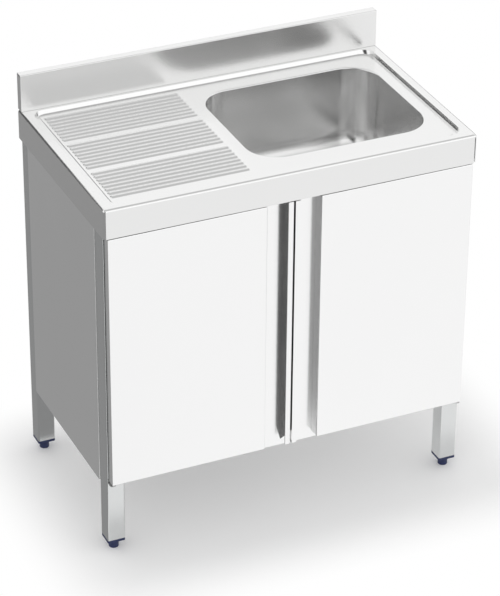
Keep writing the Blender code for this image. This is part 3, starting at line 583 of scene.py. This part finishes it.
def smooth_group():
    """Geometry nodes that shade shallow edges smooth and leave sharp ones."""
    tree = bpy.data.node_groups.get("smooth_by_angle")
    if tree:
        return tree
    tree, source, target = start_group("smooth_by_angle", "GeometryNodeTree",
                                       {"Geometry": "Geometry"}, {"Geometry": "Geometry"})
    angle = tree.nodes.new("GeometryNodeInputMeshEdgeAngle")
    sharp = add_node(tree, "FunctionNodeCompare", operation="GREATER_THAN")
    set_sockets(tree, sharp, {"A": angle.outputs["Unsigned Angle"], "B": SMOOTH_ANGLE})
    normal = add_node(tree, "GeometryNodeSetMeshNormal", mode="SHARPNESS")
    set_sockets(tree, normal, {"Mesh": source.outputs["Geometry"], "Remove Custom": True,
                               "Edge Sharpness": sharp.outputs["Result"], "Face Sharpness": False})
    feed(tree, target.inputs["Geometry"], normal.outputs["Mesh"])
    return tree


def finish_nodes(names):
    """Give solids that stay their finish, and shade their bends smooth."""
    materials = finishes()
    for name in names:
        node = frame["nodes"][name]
        if not node.data.materials:
            node.data.materials.append(None)
        node.material_slots[0].material = materials[SLOT_OF_NODE[name]]
        weld = node.modifiers.new("weld", "WELD")
        weld.merge_threshold = MERGE
        smooth = node.modifiers.new("smooth by angle", "NODES")
        smooth.node_group = smooth_group()
        weigh_normals(node)


def nodes_named(*starts):
    """Names of the solids that start with any of some words."""
    return sorted(name for name in frame["nodes"] if name.startswith(starts))


# Pieces


def step_moves(sizes, drop):
    """Moves down the step from the border to the ledge under the deck."""
    slope, radius = sizes.step_slope, sizes.step_bend
    straight = (drop - 2 * radius * (1 - cos(slope))) / sin(slope)
    wall = [(straight * cos(slope), straight * sin(slope))]
    return bend(radius, 0.0, slope) + wall + bend(radius, slope, 0.0)


def deck_front(sizes):
    """Front edge of the sunken deck and the radius of its corners.

    The deck's edge lies as far in from the step's top at the front as at the sides.
    """
    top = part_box("worktop")[0]
    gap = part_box("drainer_panel")[0].x - top.x - sizes.border_side
    return top.y + sizes.border_front + gap, sizes.deck_corner - gap


def open_corner(bm, centre):
    """Leave the narrow slit where the front and right aprons meet without a weld."""
    towards = Vector((cos(SEAM_TURN), sin(SEAM_TURN), 0.0))
    upright = [face for face in bm.faces if abs(face.normal.z) < UPRIGHT]
    upright.sort(key=lambda face: (face.calc_center_median() - centre).normalized().dot(towards))
    bmesh.ops.delete(bm, geom=upright[-SEAM_FACES:], context="FACES")


def build_worktop(sizes):
    """Border with rounded edges and aprons, and the step down to the ledge."""
    low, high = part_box("worktop")
    bm = bmesh.new()
    apron = high.z - low.z - sizes.edge_radius
    base = plate(bm, low, high, low.z, (sizes.outer_corner,) * 4)
    rise = bmesh.ops.extrude_face_region(bm, geom=[base])
    open_face(bm, base)
    outer = grown_from(rise, bmesh.types.BMFace)[0]
    bmesh.ops.translate(bm, verts=list(outer.verts), vec=(0, 0, apron))
    open_corner(bm, Vector((high.x - sizes.outer_corner, low.y + sizes.outer_corner, low.z + apron / 2)))
    press(bm, outer, [(inwards, -down) for inwards, down in bend(sizes.edge_radius, pi / 2, 0.0)])
    open_face(bm, outer)
    recess_low = (low.x + sizes.border_side, low.y + sizes.border_front)
    recess_high = (high.x - sizes.border_side, high.y - sizes.border_rear)
    recess = plate(bm, recess_low, recess_high, high.z, (sizes.deck_corner,) * 4)
    drop = high.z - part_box("bowl_surround")[1].z + sizes.sheet
    before = set(bm.verts)
    press(bm, recess, step_moves(sizes, drop))
    for vert in set(bm.verts) - before:
        vert.co.x *= 1 + sizes.side_steepen / recess_high[0] * (high.z - vert.co.z) / drop
    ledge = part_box("drainer_panel")[0].x - recess_low[0]
    press(bm, recess, [(ledge, 0.0)])
    open_face(bm, recess)
    bmesh.ops.bridge_loops(bm, edges=level_edges(bm, high.z))
    bmesh.ops.recalc_face_normals(bm, faces=bm.faces)
    thicken(bm, sizes.sheet)
    return bm


def rib_rise(sizes, x, y, ends, rows):
    """Height of the nearest rib at a point: a bead with rounded ends."""
    half = sizes.rib_width / 2
    nearest = min(rows, key=lambda row: abs(row - y))
    beyond = max(ends[0] + RIB_END - x, x - ends[1] + RIB_END, 0.0) * half / RIB_END
    reach = min(Vector((beyond, y - nearest)).length / half, 1.0)
    return sizes.rib_height * (1 + cos(reach * pi)) / 2


def build_drainer(sizes):
    """Drainer pressed with groups of ribs that have rounded ends."""
    low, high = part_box("drainer_panel")
    surround_low, surround_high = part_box("bowl_surround")
    level = surround_high.z
    ends = (low.x + RIB_LAND, high.x - RIB_LAND - RIB_SEAM_LAND)
    pitch_group = (high.y - sizes.rib_rear_land - low.y) / sizes.rib_groups
    pitch = (pitch_group - sizes.group_band) / sizes.ribs_per_group
    rows = [low.y + (group + 0.5) * pitch_group + (rib - (sizes.ribs_per_group - 1) / 2) * pitch
            for group in range(sizes.rib_groups) for rib in range(sizes.ribs_per_group)]
    side_steps = range(-RIB_SIDE_STEPS, RIB_SIDE_STEPS + 1)
    across = [sizes.rib_width / 2 * step / RIB_SIDE_STEPS for step in side_steps]
    lines_y = sorted(row + offset for row in rows for offset in across)
    tips = [RIB_END * step / RIB_END_STEPS for step in range(RIB_END_STEPS + 1)]
    lines_x = [ends[0] + tip for tip in tips] + [ends[1] - tip for tip in tips[::-1]]
    bm = bmesh.new()
    grid = bmesh.ops.create_grid(bm, x_segments=len(lines_x) - 1, y_segments=len(lines_y) - 1, size=0.5)
    for vert in grid["verts"]:
        x = lines_x[round((vert.co.x + 0.5) * (len(lines_x) - 1))]
        y = lines_y[round((vert.co.y + 0.5) * (len(lines_y) - 1))]
        vert.co = (x, y, level + rib_rise(sizes, x, y, ends, rows))
    field = [edge for edge in bm.edges if edge.is_boundary]
    front, corner = deck_front(sizes)
    outline = plate(bm, (low.x, front), (surround_low.x, surround_high.y), level,
                    (SHARP_CORNER, corner, corner, SHARP_CORNER))
    rim = open_face(bm, outline)
    bmesh.ops.triangle_fill(bm, edges=field + rim, use_beauty=True, normal=(0, 0, 1))
    bmesh.ops.recalc_face_normals(bm, faces=bm.faces)
    thicken(bm, sizes.sheet)
    return bm


def build_bowl(sizes):
    """Bowl's surround, rim, wall and floor as one satin sheet."""
    low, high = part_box("bowl_surround")
    bowl_low, bowl_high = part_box("sink_bowl")
    level = high.z
    lean = Vector((sizes.bowl_depth, sizes.bowl_draft)).angle(Vector((1.0, 0.0)))
    steep = pi / 2 - lean
    rim_run = sizes.bowl_rim * tan(steep / 2)
    grow = sizes.bowl_flange - rim_run
    bm = bmesh.new()
    mouth = plate(bm, (bowl_low.x + grow, bowl_low.y + grow), (bowl_high.x - grow, bowl_high.y - grow), level,
                  (sizes.bowl_corner + rim_run,) * 4)
    floor_run = sizes.floor_bend * tan(steep / 2)
    wall = sizes.bowl_depth / cos(lean) - rim_run - floor_run
    parts = [(wall * sin(lean) / WALL_STEPS, wall * cos(lean) / WALL_STEPS)] * WALL_STEPS
    press(bm, mouth, bend(sizes.bowl_rim, 0.0, steep) + parts)
    press(bm, mouth, bend(sizes.floor_bend, steep, 0.0, FLOOR_STEPS))
    mouth_rim = level_edges(bm, level)
    floor_rim = open_face(bm, mouth)
    drain_low, drain_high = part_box("waste_gasket")
    centre = (drain_low + drain_high) / 2
    dish_level = level - sizes.bowl_depth - DISH_FALL
    made = bmesh.ops.create_circle(bm, cap_ends=True, segments=len(floor_rim), radius=DISH_RADIUS,
                                   matrix=Matrix.Translation((centre.x, centre.y, dish_level)))
    dish = made["verts"][0].link_faces[0]
    dish.normal_update()
    if dish.normal.z < 0:
        dish.normal_flip()
    press(bm, dish, bend(DISH_BEND, 0.0, DISH_SLOPE, DISH_STEPS))
    press(bm, dish, bend(DISH_BEND, DISH_SLOPE, 0.0, DISH_STEPS))
    press(bm, dish, [(DISH_RADIUS - DRAIN_HOLE - 2 * DISH_BEND * sin(DISH_SLOPE), 0.0)])
    dish_rim = level_edges(bm, dish_level)
    open_face(bm, dish)
    bmesh.ops.bridge_loops(bm, edges=floor_rim + dish_rim)
    front, corner = deck_front(sizes)
    outline = plate(bm, (low.x, front), high, level, (corner, SHARP_CORNER, SHARP_CORNER, corner))
    rim = open_face(bm, outline)
    bmesh.ops.triangle_fill(bm, edges=mouth_rim + rim, use_beauty=True, normal=(0, 0, 1))
    bmesh.ops.recalc_face_normals(bm, faces=bm.faces)
    thicken(bm, sizes.sheet)
    return bm


def build_upstand(sizes):
    """Upstand folded over from its front face to its back."""
    low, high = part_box("splashback")
    path = [(low.x, low.y, low.z), (low.x, low.y, high.z), (low.x, high.y, high.z), (low.x, high.y, low.z)]
    return folded_sheet(path, (high.x - low.x, 0, 0), sizes.upstand_fold, sizes.sheet)


def build_foot(sizes, low, high):
    """Round base with soft edges, on a threaded stud."""
    radius, edge, top = (high.x - low.x) / 2, sizes.foot_edge, low.z + sizes.foot_height
    profile = [(0, low.z)] + arc(radius - edge, low.z + edge, edge, -pi / 2, 0)
    profile += arc(radius - edge, top - edge, edge, 0, pi / 2)
    root = sizes.stud_radius - sizes.thread_depth
    turns = int((high.z - top) / sizes.thread_pitch)
    profile.append((root, top))
    for turn in range(turns):
        level = top + turn * sizes.thread_pitch
        profile += [(sizes.stud_radius, level + sizes.thread_pitch / 2), (root, level + sizes.thread_pitch)]
    profile += [(root, high.z), (0, high.z)]
    return lathe(profile, (low + high) / 2)


def build_waste_flange(sizes):
    """Waste's flange with a rolled lip, a seat for the grid and the cup below."""
    low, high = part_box("waste_flange")
    grid_low, grid_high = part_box("waste_grid")
    radius, seat = (high.x - low.x) / 2, (grid_high.x - grid_low.x) / 2 + SHARP_CORNER
    cup = DRAIN_HOLE - SHARP_CORNER
    bore = cup - CUP_WALL
    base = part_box("sink_bowl")[1].z - sizes.bowl_depth - DISH_FALL - 2 * DISH_BEND
    edge = (high.z - base) / 2
    shelf = grid_low.z - SHARP_CORNER
    profile = [(seat, high.z)] + arc(radius - edge, high.z - edge, edge, pi / 2, -pi / 2)
    profile += [(cup, high.z - 2 * edge), (cup, low.z), (bore, low.z), (bore, shelf), (seat, shelf)]
    return lathe(profile, (low + high) / 2, True)


def build_waste_screw():
    """Dome-headed screw in the middle of the grid."""
    low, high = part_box("waste_screw")
    head = (high.x - low.x) / 2
    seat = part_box("waste_grid")[1].z + SHARP_CORNER
    rise = high.z - seat
    turns = [pi / 2 * (1 - step / BEND_STEPS) for step in range(BEND_STEPS + 1)]
    profile = [(head * cos(turn), seat + rise * sin(turn)) for turn in turns]
    profile[0] = (0, high.z)
    shank = head * SHANK_SHARE
    return lathe(profile + [(shank, seat), (shank, low.z), (0, low.z)], (low + high) / 2)


def build_waste_nut(sizes):
    """Lock nut with grips round its rim."""
    low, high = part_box("waste_nut")
    centre, radius = (low + high) / 2, (high.x - low.x) / 2
    bm = bmesh.new()
    place = Matrix.Translation((centre.x, centre.y, low.z))
    count = sizes.grip_count * GRIP_STEPS
    rings = [bmesh.ops.create_circle(bm, segments=count, radius=size, matrix=place)["verts"]
             for size in (radius, radius - sizes.nut_ring)]
    for index, vert in enumerate(rings[0]):
        if index % GRIP_STEPS >= GRIP_STEPS / 2:
            vert.co += (centre - vert.co).to_2d().normalized().to_3d() * sizes.grip_depth
    base = bmesh.ops.bridge_loops(bm, edges=bm.edges[:])["faces"]
    grown = bmesh.ops.extrude_face_region(bm, geom=base)
    bmesh.ops.translate(bm, verts=grown_from(grown, bmesh.types.BMVert), vec=(0, 0, high.z - low.z))
    bmesh.ops.recalc_face_normals(bm, faces=bm.faces)
    return bm


class SINK_OT_worktop(Operator):
    """Build the worktop's border, edges and aprons"""
    bl_idname = "sink.worktop"
    bl_label = "Worktop"

    def execute(self, context):
        bm = build_worktop(context.scene.sink_sizes)
        add_piece("worktop_border", bm, "top_steel", "cabinet", ("worktop",))
        return {"FINISHED"}


class SINK_OT_drainer(Operator):
    """Build the ribbed drainer"""
    bl_idname = "sink.drainer"
    bl_label = "Drainer"

    def execute(self, context):
        bm = build_drainer(context.scene.sink_sizes)
        add_piece("drainer_pressing", bm, "top_steel", "cabinet", ("drainer_panel",))
        return {"FINISHED"}


class SINK_OT_bowl(Operator):
    """Build the bowl and the deck round it"""
    bl_idname = "sink.bowl"
    bl_label = "Bowl"

    def execute(self, context):
        bm = build_bowl(context.scene.sink_sizes)
        add_piece("bowl_pressing", bm, "bowl_steel", "cabinet", ("sink_bowl", "bowl_surround"))
        return {"FINISHED"}


class SINK_OT_upstand(Operator):
    """Fold the upstand and finish its end plates"""
    bl_idname = "sink.upstand"
    bl_label = "Upstand"

    def execute(self, context):
        finish_nodes(nodes_named("splashback_end"))
        bm = build_upstand(context.scene.sink_sizes)
        add_piece("upstand_fold", bm, "upstand_steel", "cabinet", ("splashback",), "top_steel")
        return {"FINISHED"}


class SINK_OT_waste(Operator):
    """Turn the waste's flange, screw and nut, and finish its other pieces"""
    bl_idname = "sink.waste"
    bl_label = "Waste"

    def execute(self, context):
        sizes = context.scene.sink_sizes
        finish_nodes(["waste_grid", "waste_gasket", "waste_body"])
        add_piece("waste_lip", build_waste_flange(sizes), "bowl_steel", "cabinet", ("waste_flange",))
        add_piece("waste_dome_screw", build_waste_screw(), "bowl_steel", "cabinet", ("waste_screw",))
        add_piece("waste_grip_nut", build_waste_nut(sizes), "white_plastic", "cabinet", ("waste_nut",))
        return {"FINISHED"}


class SINK_OT_legs(Operator):
    """Draw the leg tubes and finish their plates and plugs"""
    bl_idname = "sink.legs"
    bl_label = "Legs"

    def execute(self, context):
        sizes = context.scene.sink_sizes
        finish_nodes(nodes_named("leg_plate", "leg_plug"))
        for name in nodes_named("leg_front", "leg_rear"):
            bm = tube(*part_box(name), sizes.tube_corner, sizes.tube_wall)
            add_piece(name + "_tube", bm, "tube_steel", "cabinet", (name,))
        return {"FINISHED"}


class SINK_OT_feet(Operator):
    """Turn the levelling feet with their threaded studs"""
    bl_idname = "sink.feet"
    bl_label = "Feet"

    def execute(self, context):
        for name in nodes_named("foot_"):
            bm = build_foot(context.scene.sink_sizes, *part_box(name))
            add_piece(name + "_turned", bm, "blue_plastic", name, (name,))
        return {"FINISHED"}


class SINK_OT_panels(Operator):
    """Finish the panels, shelf, rails and stiffeners"""
    bl_idname = "sink.panels"
    bl_label = "Panels"

    def execute(self, context):
        finish_nodes(nodes_named("side_panel", "back_panel", "bottom_shelf", "front_rail", "rear_rail",
                                 "deck_"))
        return {"FINISHED"}


class SINK_OT_doors(Operator):
    """Finish the doors, their pivots and catches"""
    bl_idname = "sink.doors"
    bl_label = "Doors"

    def execute(self, context):
        finish_nodes(nodes_named("door_", "pivot_", "catch_"))
        return {"FINISHED"}


class SINK_OT_stage(Operator):
    """Set the floor, the studio light and the camera"""
    bl_idname = "sink.stage"
    bl_label = "Stage"

    def execute(self, context):
        props = context.scene.sink_stage
        build_floor(props)
        build_cards(props)
        build_world(props)
        build_camera(props)
        context.scene.view_settings.view_transform = "Standard"
        return {"FINISHED"}


# Stage


def stage_object(name, bm, material):
    """A mesh that isn't part of the object."""
    mesh = bpy.data.meshes.new(name)
    bm.to_mesh(mesh)
    bm.free()
    mesh.materials.append(material)
    obj = bpy.data.objects.new(name, mesh)
    bpy.context.scene.collection.objects.link(obj)
    return obj


def empty_tree(holder):
    """The node tree of a material or a world, with nothing in it."""
    holder.use_nodes = True
    holder.node_tree.nodes.clear()
    return holder.node_tree


def mix_to_output(tree, kind, share, first, second):
    """Mix two shaders and send them to an output."""
    mix = add_node(tree, "ShaderNodeMixShader", share, first.outputs[0], second.outputs[0])
    add_node(tree, kind, mix.outputs["Shader"])


def seen_ray(tree):
    """One for rays that look at a surface: from the camera, off a shiny surface or through glass."""
    path = tree.nodes.new("ShaderNodeLightPath")
    total = path.outputs["Is Camera Ray"]
    for name in ("Is Glossy Ray", "Is Transmission Ray"):
        total = arithmetic(tree, "MAXIMUM", total, path.outputs[name])
    return total


def floor_lift(tree, props):
    """Share of plain white in the floor: little beside the object, all of it farther away."""
    low, high = CAD_BOX
    half = ((high.x - low.x) / 2, (high.y - low.y) / 2, 0.0)
    place = tree.nodes.new("ShaderNodeTexCoord").outputs["Object"]
    moved = vector_step(tree, "SUBTRACT", place, SHADOW_SHIFT)
    mirrored = vector_step(tree, "ABSOLUTE", moved.outputs["Vector"])
    outside = vector_step(tree, "SUBTRACT", mirrored.outputs["Vector"], half)
    beyond = vector_step(tree, "MAXIMUM", outside.outputs["Vector"], (0.0, 0.0, 0.0))
    away = vector_step(tree, "LENGTH", beyond.outputs["Vector"]).outputs["Value"]
    lift = map_range(tree, away, 0.0, FLOOR_FADE, props.floor_lift, 1.0, "SMOOTHSTEP")
    edge = map_range(tree, away, 0.0, REFLECTED_FADE, kind="SMOOTHSTEP")
    reflected = tree.nodes.new("ShaderNodeLightPath").outputs["Is Glossy Ray"]
    return arithmetic(tree, "MAXIMUM", lift, arithmetic(tree, "MULTIPLY", reflected, edge))


def build_floor(props):
    """Pale floor that keeps the object's shadow, lifted towards white where it is seen."""
    bm = bmesh.new()
    bmesh.ops.create_grid(bm, x_segments=1, y_segments=1, size=FLOOR_REACH)
    material = bpy.data.materials.new("studio_floor")
    tree = empty_tree(material)
    matte = add_node(tree, "ShaderNodeBsdfDiffuse", props.floor_colour)
    white = tree.nodes.new("ShaderNodeEmission")
    share = arithmetic(tree, "MULTIPLY", seen_ray(tree), floor_lift(tree, props))
    mix_to_output(tree, "ShaderNodeOutputMaterial", share, matte, white)
    stage_object("floor", bm, material)


def build_card(name, x, y, z, light):
    """A flat card that only reflections see, from one side: it faces inwards along X, forwards or up.

    Two of x, y and z are pairs of ends, and the third is the card's one place on that axis.
    """
    ends = [place if isinstance(place, tuple) else (place, place) for place in (x, y, z)]
    low, high = (Vector(corner) for corner in zip(*ends))
    middle, size = (low + high) / 2, high - low
    bm = bmesh.new()
    bmesh.ops.create_grid(bm, x_segments=1, y_segments=1, size=0.5)
    if size.z == 0:
        turn = Matrix.Identity(4)
        wide = Matrix.Diagonal((size.x, size.y, 1.0, 1.0))
    elif size.x == 0:
        turn = Matrix.Rotation(pi / 2 if middle.x < 0 else -pi / 2, 4, "Y")
        wide = Matrix.Diagonal((size.z, size.y, 1.0, 1.0))
    else:
        turn = Matrix.Rotation(pi / 2, 4, "X")
        wide = Matrix.Diagonal((size.x, size.z, 1.0, 1.0))
    bmesh.ops.transform(bm, matrix=Matrix.Translation(middle) @ turn @ wide, verts=bm.verts)
    material = bpy.data.materials.new(name)
    tree = empty_tree(material)
    glow = tree.nodes.new("ShaderNodeEmission")
    glow.inputs["Strength"].default_value = light
    clear = tree.nodes.new("ShaderNodeBsdfTransparent")
    behind = tree.nodes.new("ShaderNodeNewGeometry").outputs["Backfacing"]
    mix_to_output(tree, "ShaderNodeOutputMaterial", behind, glow, clear)
    card = stage_object(name, bm, material)
    card.visible_camera = False
    card.visible_diffuse = False
    card.visible_shadow = False
    card.visible_transmission = False


def build_cards(props):
    """Cards round the studio that shade the steel where the photograph is dark."""
    low, high = CAD_BOX
    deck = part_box("worktop")[1].z
    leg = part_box("leg_rear_left")[0]
    reach = SIDE_CARD_DEPTHS * (high.y - low.y)
    side, back = low.x - SIDE_CARD_GAP, high.y + BACK_CARD_GAP
    build_card("side_card", side, (high.y - reach, high.y + reach), (0, deck), props.side_card)
    build_card("side_card_foot", (side, low.x), (low.y, high.y + reach), CARD_LIFT, props.side_card)
    # Painted shade: a dark card on the floor under the cabinet stands in for the shaded floor that the rear
    # left leg reflects
    build_card("leg_shade_card", (low.x, 0.0), (leg.y - LEG_CARD_REACH, leg.y - LEG_CARD_GAP), CARD_LIFT,
               props.side_card)
    build_card("back_card", BACK_CARD_X, back, (0, BACK_CARD_HEIGHT), props.back_card)
    build_card("back_card_left", DARK_BACK_X, back, DARK_BACK_Z, props.dark_card)
    build_card("right_card", RIGHT_CARD_X, (low.y, back), RIGHT_CARD_Z, props.dark_card)
    build_card("front_card", FRONT_CARD_X, FRONT_CARD_Y, (0, FRONT_CARD_HEIGHT), props.front_card)
    build_card("channel_card_left", CHANNEL_CARD_X, DARK_CHANNEL_Y, (0, deck), props.channel_card_left)
    build_card("channel_card_right", CHANNEL_CARD_X, GREY_CHANNEL_Y, (0, deck), props.channel_card_right)


def build_world(props):
    """Soft light from all round, dimmer from straight above, on a white background."""
    world = bpy.data.worlds.new("studio")
    tree = empty_tree(world)
    coords = tree.nodes.new("ShaderNodeTexCoord").outputs["Generated"]
    towards = add_node(tree, "ShaderNodeSeparateXYZ", coords).outputs
    height = map_range(tree, towards["Z"], sin(WALL_TOP), sin(CEILING_EDGE), props.wall_light,
                       props.ceiling_light, "SMOOTHSTEP")
    front = arithmetic(tree, "MULTIPLY_ADD", towards["Y"], -props.front_gain, 1.0)
    soft = add_node(tree, "ShaderNodeBackground", WHITE, arithmetic(tree, "MULTIPLY", height, front))
    white = add_node(tree, "ShaderNodeBackground", WHITE)
    seen = tree.nodes.new("ShaderNodeLightPath").outputs["Is Camera Ray"]
    mix_to_output(tree, "ShaderNodeOutputWorld", seen, soft, white)
    bpy.context.scene.world = world


def build_camera(props):
    """Camera fitted to the photograph's corners."""
    azimuth, elevation, roll = props.azimuth, props.elevation, props.roll
    forward = Vector((-sin(azimuth) * cos(elevation), cos(azimuth) * cos(elevation), -sin(elevation)))
    level = forward.cross(Vector((0, 0, 1))).normalized()
    upright = level.cross(forward)
    right = level * cos(roll) + upright * sin(roll)
    up = upright * cos(roll) - level * sin(roll)
    data = bpy.data.cameras.new("photo_camera")
    data.sensor_width = SENSOR
    data.lens = FOCAL_PIXELS * SENSOR / max(IMAGE_WIDTH, IMAGE_HEIGHT)
    camera = bpy.data.objects.new("photo_camera", data)
    matrix = Matrix((right, up, -forward)).transposed().to_4x4()
    matrix.translation = CAMERA_TARGET - forward * CAMERA_DISTANCE
    camera.matrix_world = matrix
    bpy.context.scene.collection.objects.link(camera)
    bpy.context.scene.camera = camera


class SINK_PT_panel(Panel):
    """Sidebar list of the cabinet's pieces and settings"""
    bl_idname = "SINK_PT_panel"
    bl_label = "Sink Cabinet"
    bl_space_type = "VIEW_3D"
    bl_region_type = "UI"
    bl_category = "Sink Cabinet"

    def draw(self, context):
        layout = self.layout
        for operator in OPERATORS:
            layout.operator(operator.bl_idname)
        for group in (context.scene.sink_sizes, context.scene.sink_finishes, context.scene.sink_stage):
            box = layout.box()
            for name in group.__annotations__:
                box.prop(group, name)


GROUPS = {"sink_sizes": SINK_PG_sizes, "sink_finishes": SINK_PG_finishes, "sink_stage": SINK_PG_stage}
OPERATORS = (SINK_OT_worktop, SINK_OT_drainer, SINK_OT_bowl, SINK_OT_upstand, SINK_OT_waste, SINK_OT_legs,
             SINK_OT_feet, SINK_OT_panels, SINK_OT_doors, SINK_OT_stage)


def register():
    """Register the classes and hang the settings on the scene."""
    for cls in (*GROUPS.values(), *OPERATORS, SINK_PT_panel):
        bpy.utils.register_class(cls)
    for name, group in GROUPS.items():
        setattr(bpy.types.Scene, name, PointerProperty(type=group))


def unregister():
    """Take the settings and classes away."""
    for name in GROUPS:
        delattr(bpy.types.Scene, name)
    for cls in (SINK_PT_panel, *reversed(OPERATORS), *reversed(GROUPS.values())):
        bpy.utils.unregister_class(cls)


def main():
    """Build every piece in order."""
    register()
    bpy.ops.sink.worktop()
    bpy.ops.sink.drainer()
    bpy.ops.sink.bowl()
    bpy.ops.sink.upstand()
    bpy.ops.sink.waste()
    bpy.ops.sink.legs()
    bpy.ops.sink.feet()
    bpy.ops.sink.panels()
    bpy.ops.sink.doors()
    bpy.ops.sink.stage()


if __name__ == "__main__":
    main()
